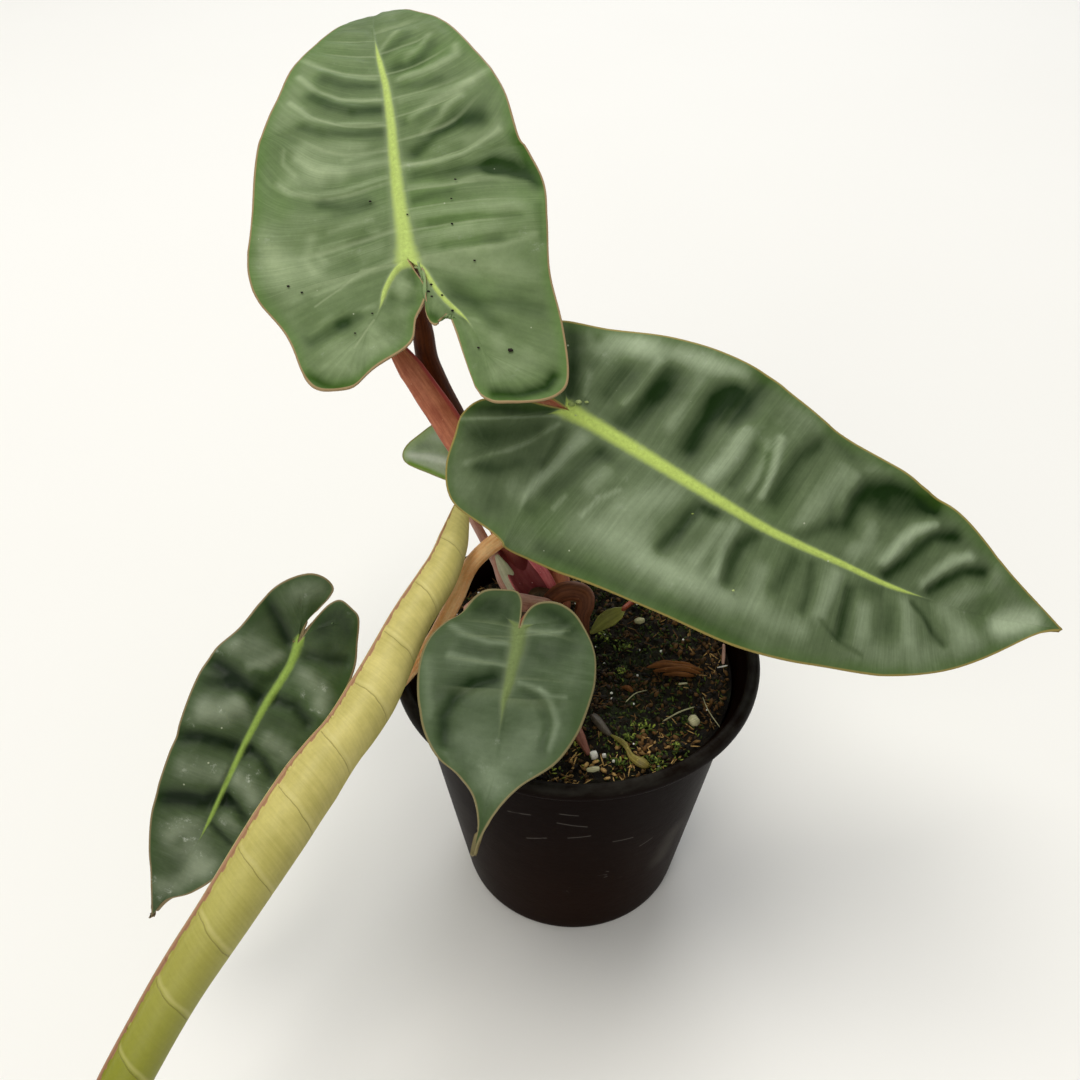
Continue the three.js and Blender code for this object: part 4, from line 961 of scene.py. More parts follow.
def underFinish(name, leaf):
    look = leaf["look"]
    finish = Finish(name, {"Specular IOR Level": 0.35})
    across, along = finish.chart()
    spot = finish.place()
    ribs = finish.value("ribs")
    margins = finish.value("margins")
    grain = finish.noise(spot, 700.0, 4.0, 0.7)
    cloud = finish.noise(spot, 60.0, 3.0, 0.6)
    net = finish.noise(finish.vector(across * 9.0, along * 9.0, 2.0), 1.0, 4.0, 0.65)
    colour = finish.tint(tone(look["under"]), 0.72 + grain * 0.25 + cloud * 0.3)
    lines = finish.ripple(along, 1.0, 0.07)
    colour = finish.blend(colour, tone("a9b884"), lines * 0.6 * finish.fade(margins, 0.5, 8.0))
    colour = finish.blend(colour, tone("566b40"), finish.fade(net, 0.55, 0.8) * 0.35)
    colour = finish.blend(colour, tone("b7bf86"), finish.fade(ribs, 1.15, 0.7))
    colour = finish.blend(colour, tone(look["margin"]), finish.fade(margins, 0.7, 0.3))
    finish.feed("Base Color", colour)
    finish.feed("Roughness", 0.52 + grain * 0.2)
    finish.feed("Normal", finish.bump(grain * 0.4 + lines + net * 0.4, 0.0003, 0.6))
    return finish


def makeLeaf(name, leaf, seed):
    sheet, length = bentSheet(leaf)
    bm = newSkin(["ribs", "margins", "paintedShades", "thick"])
    columns, rows = leaf["size"]
    for side in ("left", "right"):
        made = addGrid(bm, columns, rows, leafHalf(leaf, leaf[side], ridges[name], sheet, length, seed))
        middle = made[(rows * 3 // 4) * (columns + 1) + columns // 2].link_faces[0]  # well out on the blade
        spot, facing = sheet(np.array([-6.0 if side == "left" else 6.0]), np.array([length * 0.5]))
        middle.normal_update()
        if middle.normal.dot(Vector(facing[0])) < 0:
            bmesh.ops.reverse_faces(bm, faces=list({face for vert in made for face in vert.link_faces}))
    joinSeams(bm, turn=False)
    finishes = [leafFinish(name + "Top", leaf, seed), underFinish(name + "Under", leaf)]
    piece = makePiece(name, bm, finishes, [leaf["node"]])
    piece.vertex_groups.new(name="thick")
    body = piece.modifiers.new("thickness", "SOLIDIFY")
    body.thickness = (blade["thickness"] + leaf["midrib"]["depth"]) * mm
    body.offset = -1
    body.vertex_group = "thick"
    body.thickness_vertex_group = 0.0
    body.material_offset = 1
    body.material_offset_rim = 0
    body.use_even_offset = False
    return piece


for number, (leafName, leaf) in enumerate(leaves.items()):
    makeLeaf(leafName, leaf, 10 * number + 3)


# Stalks, sheaths, roots and the rolled leaf: sections carried along smooth paths

def carried(path, facing, v, step):  # centre, sideways and outward of a section, and the path's length
    centre, length = evenly(path, v)
    ahead = evenly(path, np.clip(v + step, 0, 1))[0]
    behind = evenly(path, np.clip(v - step, 0, 1))[0]
    along = unit(ahead - behind)
    across = unit(np.cross(along, facing))
    return centre, across, np.cross(across, along), length


def rounded(v, starts, stops):  # 1 along a tube, and down to 0 in a round over each end's share
    first = np.clip(1 - v / starts, 0, 1)
    final = np.clip(1 - (1 - v) / stops, 0, 1)
    return np.sqrt(np.clip(1 - np.maximum(first, final) ** 2, 0, 1))


def tubeShape(tube):  # half widths and half depths are in mm, at equal steps along the path
    path = np.array(tube["path"], float)
    width = np.array(tube["width"], float)
    depth = np.array(tube.get("depth", tube["width"]), float)
    facing = np.array(tube.get("facing", (0.1, -0.7, 0.7)), float)
    section = tube.get("section")
    starts, stops = tube.get("ends", (0.02, 0.03))
    rough = tube.get("rough", 0.03)
    seed = tube.get("seed", 1.0)
    ticks = np.linspace(0, 1, 241)
    outline = None
    if section:
        ring = np.array(section + section[:3], float)
        ring = np.hstack([ring, np.zeros((len(ring), 1))])
        outline = throughPoints(ring, (1 + ticks * len(section)) / (len(ring) - 1))[:, :2]

    def shape(u, v):
        centre, across, outward, length = carried(path, facing, v, 0.004)
        if outline is None:
            a, b = np.cos(2 * np.pi * u), np.sin(2 * np.pi * u)
        else:
            a, b = (np.interp(u, ticks, outline[:, axis]) for axis in (0, 1))
        spots = zip(a * 1.2, b * 1.2, v * length * 0.12 + seed)
        bumps = [noise.noise(Vector(spot)) for spot in spots]
        size = rounded(v, starts, stops) * (1 + rough * np.array(bumps) * 2)
        spread = np.linspace(0, 1, len(width))
        tall = np.linspace(0, 1, len(depth))
        points = centre + across * (a * np.interp(v, spread, width) * size)[:, None]
        points = points + outward * (b * np.interp(v, tall, depth) * size)[:, None]
        return points, {"growth": np.stack([u, v * length / 10], axis=1)}, {}

    return shape


def makeTube(name, tube, finish, stands, columns=28, rows=90):
    bm = newSkin()
    addGrid(bm, columns, rows, tubeShape(tube))
    joinSeams(bm)
    return makePiece(name, bm, [finish], stands)


def stalkFinish(name, look, seed=1.0):
    finish = Finish(name, {"Specular IOR Level": look["gloss"]})
    across, along = finish.chart()
    spot = finish.place()
    streaks = finish.noise(finish.vector(across * 16.0, along * 0.7, seed), 1.0, 4.0, 0.65)
    cloud = finish.noise(spot, 160.0, 3.0, 0.6)
    grain = finish.noise(spot, 1400.0, 3.0, 0.7)
    lit = finish.fade(streaks + cloud * 0.5, 0.45, 1.05)
    colour = finish.blend(tone(look["deep"]), tone(look["light"]), lit)
    lowPart = finish.fade(along + cloud, look["lowTo"] + 0.8, look["lowTo"] - 0.6)
    colour = finish.blend(colour, tone(look["low"]), lowPart)
    if "face" in look:
        shade, low, high = look["face"]
        face = finish.fade(across, low - 0.02, low + 0.04) * finish.fade(across, high + 0.02, high - 0.04)
        colour = finish.blend(colour, tone(shade), face * 0.8)
    colour = finish.blend(colour, tone(look["fleck"]), finish.dots(spot, 900.0, 0.2, 0.18) * 0.5)
    finish.feed("Base Color", finish.tint(colour, 0.8 + grain * 0.4))
    finish.feed("Roughness", 0.33 + grain * 0.2 + streaks * 0.1)
    finish.feed("Normal", finish.bump(streaks + grain * 0.5, 0.00025, 0.7))
    return finish


def stalkLook(deep, light, low, lowTo, fleck, gloss=0.35):  # the low tone reaches lowTo cm from the foot
    return {"deep": deep, "light": light, "low": low, "lowTo": lowTo, "fleck": fleck, "gloss": gloss}


creased = [[-1, -0.15], [-0.62, 0.7], [0.05, 1], [0.7, 0.55], [1, -0.1], [0.45, -0.75], [-0.5, -0.75]]

stalkLooks = {
    "dark": stalkLook("3a1605", "5c2c0e", "5a2c1c", 0.9, "5b3418", 0.08),
    "wine": stalkLook("984832", "cc805f", "55100f", 0.6, "d29a78", 0.25),
    "orange": stalkLook("e89c58", "ffd8a0", "4a0a0a", 1.1, "f0c8a0", 0.3),
    "dusty": stalkLook("a3705f", "d0a592", "a8675c", 0.4, "dbb6a2"),
    "flare": stalkLook("b04048", "e08488", "5a0c0e", 0.9, "e8b0b0", 0.2),
    "grey": stalkLook("a3a482", "c9cbae", "8b8c6a", -0.5, "c9c9a8"),
    "root": stalkLook("42200f", "7c4a30", "3a1a0c", 0.9, "a87a5c", 0.15),
}

tubes = {
    "topStalk": {
        "look": "dark", "slot": "stalk_dark", "node": "stalk_top",
        "path": [
            [-12, 12, 92], [-12.5, 16, 98], [-18, 30, 107], [-25, 36, 115.4], [-30.5, 38, 127.7],
            [-34.9, 40, 138.2], [-38.1, 40, 147.1], [-39.8, 40, 154], [-40.4, 40, 162], [-41.5, 39.2, 171],
            [-42.2, 38.7, 179], [-42.3, 37.4, 184],
        ],
        "width": [3.4, 3.6, 3.8, 3.8, 3.8, 3.7, 3.5, 3.1, 2.7, 2.4, 2.2],
        "seed": 2.0,
    },
    "rightStalk": {
        "look": "wine", "slot": "stalk_red", "node": "stalk_right",
        "path": [
            [-5, 7, 92], [-5, 9, 98], [-6, 15, 105], [-8, 18, 112], [-11, 23, 127], [-12, 26.5, 140],
            [-11.5, 27, 147], [-9.5, 24.5, 151], [-6, 22, 151.8], [-3, 19.5, 150.8],
        ],
        "width": [3.4, 3.4, 3, 2.8, 2.5, 2.2, 1.9],
        "seed": 3.0,
    },
    "leftStalk": {
        "look": "orange", "slot": "stalk_orange", "node": "stalk_left",
        "path": [
            [-12, 5, 94], [-12, 12, 100], [-13, 18.5, 108], [-15.5, 17.5, 114], [-18.8, 12.5, 116.6],
            [-21.5, 8.8, 117], [-24.6, 6.4, 115.8], [-27.6, 4.7, 113.3], [-29.7, 2.2, 110.6],
            [-31.4, -2, 108.4], [-34.2, -7, 104.9], [-37.8, -12, 100.4], [-43, -15.5, 95], [-49, -16.5, 88],
            [-56, -15, 82.5], [-64, -12, 81], [-70, -9.5, 85.5], [-74, -9, 92],
        ],
        "width": [3.6, 3, 2.5, 2.2, 2.1, 2.1, 2, 1.9, 1.8],
        "low": 2.9,
        "seed": 4.0,
        "rows": 130,
    },
    "frontStalk": {
        "look": "wine", "slot": "stalk_red", "node": "stalk_front",
        "path": [[-8, 1, 92], [-8, -1, 98], [-10, -8, 107], [-12.5, -16, 112], [-15.2, -24, 114.1]],
        "width": [2.6, 2.4, 2.1, 1.7],
        "seed": 5.0,
    },
    "rolledStalk": {
        "look": "orange", "slot": "stalk_orange", "node": "stalk_rolled",
        "path": [
            [-9, 5, 94], [-10, 7, 100], [-15, 17, 107], [-20, 24, 114], [-25, 27, 120], [-29, 27, 124],
            [-31.5, 24, 127], [-31, 20.5, 127], [-30, 16, 125.2],
        ],
        "width": [2.8, 2.6, 2.4, 2.2, 1.9, 1.7],
        "low": 2.6,
        "seed": 6.0,
    },
    "backStalk": {
        "look": "dusty", "slot": "stalk_red", "node": "stalk_back",
        "path": [
            [-13, 5, 95], [-14.1, 5, 98], [-19.5, 8, 102.6], [-21.7, 13, 106], [-25.1, 19, 108.8],
            [-28.7, 26, 111], [-32.5, 31, 114.5], [-34, 34.5, 117.3],
        ],
        "width": [1.6, 1.5, 1.3, 1.2],
        "seed": 7.0,
    },
    "redSheath": {
        "look": "wine", "slot": "stalk_red", "node": "sheath_red",
        "path": [
            [-12, 6, 95], [-13, 8, 102], [-17, 12, 112], [-21, 17, 118], [-27, 23, 130], [-34, 28, 141],
            [-40, 31, 150], [-46, 35, 158], [-52, 39, 165],
        ],
        "width": [3, 3.3, 3.9, 3.9, 3.8, 3.4, 0.8],
        "depth": [1.8, 1.8, 1.8, 1.7, 1.5, 1.2, 0.5],
        "section": creased,
        "facing": [-0.1, -0.75, 0.65],
        "face": ["a03438", 0.29, 0.52],
        "low": 2.6,
        "seed": 8.0,
    },
    "pinkSheath": {
        "look": "dusty", "slot": "stalk_red", "node": "sheath_pink",
        "path": [
            [-8.1, 0, 98], [-7.9, -1.5, 103], [-12.1, -3.5, 106], [-16.5, -4.5, 107.8],
            [-23.3, -6.5, 110.6], [-29.5, -9.5, 109.5],
        ],
        "width": [1.9, 2.2, 2.4, 2.2, 0.8],
        "depth": [1.2, 1.3, 1.4, 1.3, 0.6],
        "section": creased,
        "facing": [0, -0.75, 0.65],
        "seed": 9.0,
    },
    "flaredBase": {
        "look": "flare", "slot": "stalk_red",
        "path": [
            [-20.8, 14.5, 115], [-18.8, 12.5, 112.6], [-16.3, 10, 110.4], [-13.4, 7, 107.2],
            [-10.2, 5, 103], [-8, 3.5, 98],
        ],
        "width": [1.8, 3.2, 4.4, 5, 4.6, 3.2],
        "depth": [0.8, 1.2, 1.6, 2, 2, 1.6],
        "section": [[-1, 0.7], [-0.5, -0.25], [0.3, -0.3], [1, 0.8], [0.9, -0.5], [0, -1], [-0.9, -0.5]],
        "facing": [0.1, -0.8, 0.6],
        "face": ["4e080a", -0.06, 0.3],
        "seed": 16.0,
    },
    "greySheath": {
        "look": "grey", "slot": "stalk_red",
        "path": [
            [-21.6, 8.5, 112.8], [-20.6, 7.8, 110.8], [-18.9, 6.7, 107.8], [-16.9, 5.7, 104.2],
            [-14.9, 4.5, 99.7],
        ],
        "width": [0.5, 1.5, 2, 2.1, 1.8],
        "depth": [0.4, 0.9, 1.1, 1.2, 1.2],
        "section": creased,
        "facing": [0.2, -0.8, 0.6],
        "seed": 17.0,
    },
    "airRoot": {
        "look": "root", "slot": "stem_bark", "node": "air_root",
        "path": [
            [-9, 3, 95], [-8, 2.5, 99], [-6.3, 2, 103], [-3.9, 1.8, 105.4], [-0.8, 1.6, 106], [1.7, 1, 105],
            [2, 0, 102.6], [1.2, -1, 99.5], [1.6, -2, 94], [2.2, -2, 86], [2.5, -2, 74],
        ],
        "width": [2.4, 2.6, 2.7, 2.4, 1.9, 1.5, 1.3, 1.2],
        "seed": 10.0,
    },
}

roll = {
    "path": [
        [-30.1, 15.6, 125.1], [-34.1, -2, 118.5], [-42.4, -18.3, 112.6], [-49.4, -35.3, 106.7],
        [-53.6, -43.5, 104.1], [-58.5, -51.2, 102], [-63.1, -59.1, 99.5], [-67.8, -67, 96.2],
        [-77.2, -81.6, 88.8], [-87.1, -95.2, 79.6], [-96.2, -108.1, 68.7], [-104.5, -120, 56.4],
        [-113, -131, 43],
    ],
    "width": [1.8, 3.9, 4.8, 5, 5.5, 6.1, 5.9, 6.7, 6.6, 6.2, 5.8, 5.5, 5.3, 5.1, 4.4, 2.9, 0.5],
    "facing": [0.5, -0.6, 0.6],
    "ends": (0.012, 0.01),
    "stepShare": 0.035,  # part of a turn where the loose margin steps down
    "wrap": (0.935, 1.075),
    "veinPitch": 1.5,
}


def rollShape(u, v):
    centre, across, outward, length = carried(roll["path"], roll["facing"], v, 0.006)
    step = roll["stepShare"]
    turned = np.clip(u / (1 - step), 0, 1)
    back = np.clip((u - (1 - step)) / step, 0, 1)
    low, high = roll["wrap"]
    angle = 2 * np.pi * turned
    reach = low + (high - low) * turned * (1 - back)
    width = np.interp(v, np.linspace(0, 1, len(roll["width"])), roll["width"])
    sway = [noise.noise(Vector((math.cos(a) * 0.8, math.sin(a) * 0.8, b * 9.0))) for a, b in zip(angle, v)]
    size = width * reach * rounded(v, *roll["ends"]) * (1 + 0.035 * np.array(sway))
    points = centre + across * (np.cos(angle) * size)[:, None] + outward * (np.sin(angle) * size)[:, None]
    growth = {"growth": np.stack([u, v * length / 10], axis=1)}
    return points, growth, {"seams": np.minimum(1 - turned + (1 - back) * 0.001, 1)}


def rollFinish():
    finish = Finish("rolledLeaf", {"Specular IOR Level": 0.4})
    around, along = finish.chart()
    spot = finish.place()
    seam = finish.value("seams")
    cloud = finish.noise(spot, 70.0, 3.0, 0.6)
    grain = finish.noise(spot, 1000.0, 4.0, 0.7)
    slant = along - around * 1.1
    streaks = finish.noise(finish.vector(around * 1.2, slant * 14.0, 4.0), 1.0, 3.0, 0.6)
    lit = finish.fade(cloud * 0.9 + streaks * 0.35, 0.2, 1.0)
    colour = finish.blend(tone("a39a4b"), tone("dacd7e"), lit)
    colour = finish.blend(colour, tone("7f8410"), finish.fade(along + cloud * 3.0, 9.0, 18.5))
    station = slant + cloud * 0.3
    veins = finish.ripple(station, roll["veinPitch"], 0.013)
    colour = finish.blend(colour, tone("7d6f33"), veins * 0.45)
    besideVeins = finish.ripple(station + 0.09, roll["veinPitch"], 0.06)
    colour = finish.blend(colour, tone("e0d693"), besideVeins * 0.25)
    edge = finish.fade(seam + cloud * 0.02 - along * 0.0011, 0.034, 0.012)
    colour = finish.blend(colour, tone("a5715c"), edge * 0.85)
    finish.feed("Base Color", finish.tint(colour, 0.85 + grain * 0.25))
    finish.feed("Roughness", 0.42 + grain * 0.2)
    relief = veins * -0.8 + streaks * 0.25 + grain * 0.25
    finish.feed("Normal", finish.bump(relief, 0.0003, 0.6))
    return finish


for tubeName, tube in tubes.items():
    look = dict(stalkLooks[tube["look"]])
    look["lowTo"] = tube.get("low", look["lowTo"])
    if "face" in tube:
        look["face"] = tube["face"]
    stands = [tube["node"]] if "node" in tube else []
    finish = stalkFinish(tubeName, look, tube["seed"])
    makeTube(tubeName, tube, finish, stands, rows=tube.get("rows", 90))

rollSkin = newSkin(["seams"])
addGrid(rollSkin, 64, 170, rollShape)
joinSeams(rollSkin)
makePiece("rolledLeaf", rollSkin, [rollFinish()], ["blade_rolled"])


# Stem, pot and soil: turned pieces

pot = {
    "height": 88,
    "rim": 50,
    "base": 33,
    "lipDepth": 4.5,
    "lipWidth": 3,
    "wall": 1.2,
    "hole": 3.5,
    "holeCircle": 23,
    "holes": 6,
    "soil": 80,
    "scratches": [  # along and above the base, in mm round the wall
        (182.3, 65.3, 189.5, 63.7), (174.2, 53.7, 179.4, 56.2), (185, 57.6, 190.5, 58.7),
        (196.8, 53.7, 202.3, 53.1), (169.9, 65.2, 175.7, 67), (205.4, 46.1, 209, 47.6),
        (183, 70.1, 187.2, 69.6),
    ],
}


def wallRadius(z):
    top = pot["rim"] - pot["lipWidth"] - 1.6
    return pot["base"] + (top - pot["base"]) * z / (pot["height"] - pot["lipDepth"])


def potProfile():
    under = pot["height"] - pot["lipDepth"]
    rim, top, wall = pot["rim"], pot["height"], pot["wall"]
    return [
        (0, 0.8), (22, 0.8), (pot["base"] - 3.4, 0.7), (pot["base"] - 2.6, 0.1), (pot["base"] - 1, 0),
        (pot["base"] - 0.3, 0.3), (pot["base"] + 0.1, 1), (wallRadius(20), 20), (wallRadius(50), 50),
        (wallRadius(under - 3), under - 3), (wallRadius(under - 0.6), under - 0.6),
        (wallRadius(under) + 0.6, under), (rim - 1.0, under + 0.05), (rim - 0.35, under + 0.35),
        (rim, under + 1.0), (rim + 0.1, under + 2.2), (rim - 0.1, top - 1.4), (rim - 0.5, top - 0.5),
        (rim - 1.2, top), (rim - 2.1, top), (rim - 2.8, top - 0.4), (rim - 3.2, top - 1.3),
        (rim - 3.6, top - 3), (wallRadius(under) - wall + 0.2, under - 1), (wallRadius(60) - wall, 60),
        (wallRadius(4) - wall, 4), (wallRadius(3) - wall - 0.6, 2.4), (wallRadius(3) - wall - 1.6, 1.7),
        (0, 1.7),
    ]


def turnedShape(profile):  # the profile is radius and height, in mm
    line = np.array(profile, float)
    reach = np.concatenate([[0], np.cumsum(np.linalg.norm(np.diff(line, axis=0), axis=1) ** 0.5)])
    reach = reach / reach[-1]

    def shape(u, v):
        radius = np.interp(v, reach, line[:, 0])
        height = np.interp(v, reach, line[:, 1])
        angle = 2 * np.pi * u
        points = np.stack([radius * np.cos(angle), radius * np.sin(angle), height], axis=1)
        return points, {"growth": np.stack([u, height / 10], axis=1)}, {}

    return shape


def potFinish():
    finish = Finish("potPlastic", {"Specular IOR Level": 0.015})
    around, height = finish.chart()
    spot = finish.place()
    cloud = finish.noise(spot, 45.0, 4.0, 0.6)
    grain = finish.noise(spot, 1500.0, 3.0, 0.7)
    rubbed = finish.noise(finish.vector(around * 60.0, height * 6.0, 1.0), 1.0, 5.0, 0.7)
    colour = finish.blend(tone("0c0301"), tone("190902"), finish.fade(height + cloud * 3.0, 9.0, 2.0))
    wall = finish.vector(around * 25.0, height)
    # a painted reflection: a pale patch low on the wall's front right
    paintedReflection = finish.segment(wall, (219, 41), (216, 30), 7.0) * (0.4 + cloud)
    colour = finish.blend(colour, tone("45413a"), paintedReflection * 0.55)
    marks = 0.0
    for startX, startY, endX, endY in pot["scratches"]:
        marks = finish.segment(wall, (startX, startY), (endX, endY), 0.4) * 0.9 + marks
    smears = finish.noise(finish.vector(around * 40.0, height * 3.0, 5.0), 1.0, 2.0, 0.5, 2.0)
    rubbing = finish.fade(smears, 0.7, 0.76) * finish.fade(cloud, 0.52, 0.62)
    marks = (marks + rubbing * 0.7) * finish.fade(rubbed, 0.3, 0.5)
    colour = finish.blend(colour, tone("7d7872"), marks * 0.3)
    dust = finish.fade(finish.noise(spot, 300.0, 5.0, 0.75), 0.62, 0.8)
    colour = finish.blend(colour, tone("4c4238"), dust * finish.fade(height, 7.6, 8.6) * 0.5)
    # a painted highlight along the top of the rim, broken up by the rubbed and cloud noise
    paintedRimHighlight = finish.fade(height, 8.5, 8.72) * finish.fade(rubbed + cloud, 0.6, 1.3)
    colour = finish.blend(colour, tone("54554e"), paintedRimHighlight * 0.2)
    finish.feed("Base Color", colour)
    finish.feed("Roughness", 0.3 + cloud * 0.12 + rubbed * 0.08 + dust * 0.15)
    finish.feed("Normal", finish.bump(cloud * 0.8 + grain * 0.1 + rubbed * 0.2, 0.0004, 0.5))
    return finish


def makePot():
    bm = newSkin()
    addGrid(bm, 128, 96, turnedShape(potProfile()))
    joinSeams(bm)
    piece = makePiece("growerPot", bm, [potFinish()], ["pot"])
    drill = bmesh.new()
    for number in range(pot["holes"]):
        angle = (number + 0.5) * math.tau / pot["holes"]
        place = Vector((math.cos(angle), math.sin(angle), 0)) * pot["holeCircle"] * mm
        radius = pot["hole"] * mm
        bmesh.ops.create_cone(drill, cap_ends=True, segments=24, radius1=radius, radius2=radius,
                              depth=12 * mm, matrix=Matrix.Translation(place))
    cutterMesh = bpy.data.meshes.new("drill")
    drill.to_mesh(cutterMesh)
    drill.free()
    cutter = bpy.data.objects.new("drill", cutterMesh)
    scene.collection.objects.link(cutter)
    cut = piece.modifiers.new("drain", "BOOLEAN")
    cut.object = cutter
    cut.operation = "DIFFERENCE"
    cut.solver = "EXACT"
    drilled = bpy.data.meshes.new_from_object(piece.evaluated_get(bpy.context.evaluated_depsgraph_get()))
    piece.modifiers.remove(cut)
    plain = piece.data
    piece.data = drilled
    drilled.name = "growerPot"
    bpy.data.objects.remove(cutter)
    bpy.data.meshes.remove(cutterMesh)
    bpy.data.meshes.remove(plain)
    return piece


def soilHeight(x, y):  # the bumpy top of the potting mix
    broad = noise.fractal(Vector((x * 0.06, y * 0.06, 3.0)), 1.0, 2.0, 3)
    fine = noise.fractal(Vector((x * 0.35, y * 0.35, 9.0)), 0.8, 2.1, 4)
    return pot["soil"] + 1.3 * broad + 1.1 * fine


def soilShape(u, v):
    angle = 2 * np.pi * u
    low = pot["wall"] + 0.8
    edge = wallRadius(pot["soil"]) - pot["wall"] - 0.5
    under = wallRadius(low + 1) - pot["wall"] - 1.8
    radius = np.interp(v, [0, 0.12, 0.2, 1], [0, under, edge, 0])
    height = np.interp(v, [0, 0.12, 0.2, 1], [low, low, pot["soil"] - 1.2, pot["soil"]])
    x, y = radius * np.cos(angle), radius * np.sin(angle)
    onTop = smooth(v, 0.19, 0.22)
    tops = np.array([soilHeight(a, b) for a, b in zip(x, y)])
    tops = tops - 0.9 * smooth(radius, edge - 2.5, edge)
    height = np.where(v > 0.2, tops, height) * onTop + height * (1 - onTop)
    return np.stack([x, y, height], axis=1), {"growth": np.stack([u, v], axis=1)}, {}


def soilFinish(name, deep, light, moss):
    finish = Finish(name, {"Specular IOR Level": 0.3})
    spot = finish.place()
    clods = finish.noise(spot, 330.0, 6.0, 0.75)
    grain = finish.noise(spot, 1500.0, 4.0, 0.75)
    patches = finish.noise(spot, 70.0, 4.0, 0.65)
    colour = finish.blend(tone(deep), tone(light), finish.fade(clods + grain * 0.5, 0.55, 1.05))
    colour = finish.blend(colour, tone(moss), finish.fade(patches + grain * 0.2, 0.62, 0.76) * 0.7)
    finish.feed("Base Color", colour)
    finish.feed("Roughness", 0.75 + grain * 0.25)
    finish.feed("Normal", finish.bump(clods + grain * 0.4, 0.0012, 0.9))
    return finish


makePot()
soilSkin = newSkin()
addGrid(soilSkin, 200, 110, soilShape)
joinSeams(soilSkin)
soilMix = soilFinish("pottingMix", "070502", "2a1f0e", "222b0a")
makePiece("pottingMix", soilSkin, [soilMix], ["soil"])

stem = {
    "path": [[-10, 5, 60], [-10, 5, 80], [-10, 4.5, 92], [-10, 4, 104]],
    "width": [6.4, 6.8, 7, 7, 6.4, 4.6],
    "ends": (0.05, 0.12),
    "rough": 0.12,
    "seed": 12.0,
}
sproutStalk = {
    "path": [[23, 29, 75], [23, 28.5, 79], [19.2, 22, 84.5], [15.8, 17.1, 87.1], [13, 13.6, 87.5]],
    "width": [1, 0.9, 0.7],
    "seed": 13.0,
}
sproutLeaf = {
    "path": [
        [14, 14.6, 87.5], [12.6, 13.2, 87.5], [10.7, 12.1, 87], [8.4, 11.1, 86], [6.1, 9.3, 85],
        [4.1, 7.9, 84],
    ],
    "width": [0.5, 1.7, 2.2, 2, 1.3, 0.3],
    "depth": [0.4, 0.5, 0.6, 0.6, 0.5, 0.3],
    "section": [[-1, 0.6], [0, 0.1], [1, 0.6], [1, -0.4], [0, -1], [-1, -0.4]],
    "facing": [0.2, -0.6, 0.75],
    "seed": 14.0,
}
twig = {
    "path": [[-2.5, -20, 84], [-1, -24.5, 83.2], [0.8, -29.3, 82.4], [2.6, -33.4, 81.4]],
    "width": [0.9, 1.3, 1.3, 0.7],
    "rough": 0.15,
    "seed": 15.0,
}
stemLook = stalkLook("2c1d10", "5d4930", "23180e", 2.0, "7b6746")
makeTube("stemPiece", stem, stalkFinish("stemBark", stemLook, 12.0), ["stem"], 40, 70)


# Small things: the sprout, the twig and the litter on the potting mix

bitLooks = {
    "sproutLeaf": stalkLook("6b6a28", "9c9a48", "8d5230", -0.1, "b5b36a"),
    "sproutStalk": stalkLook("7a2a18", "b0522f", "7a2a18", 0.1, "c07a58"),
    "twigBark": stalkLook("5c3026", "96604f", "2c170d", 0.1, "8a6548"),
    "chipBark": stalkLook("2e1708", "84542c", "3a2008", -0.5, "b08858", 0.05),
    "deadStick": stalkLook("2a241c", "5c5346", "2a241c", -0.5, "6c6252"),
    "husk": stalkLook("4c4012", "94863c", "4a5018", 0.6, "d0c26c"),
    "straw": stalkLook("8a8560", "d6d2a6", "8a8560", -0.5, "e6e2c0"),
    "white": stalkLook("d0cdc2", "f4f2ea", "d0cdc2", -0.5, "ffffff"),
    "rootlet": stalkLook("8a5c50", "c09a8a", "8a5c50", -0.5, "d8c0b0"),
}

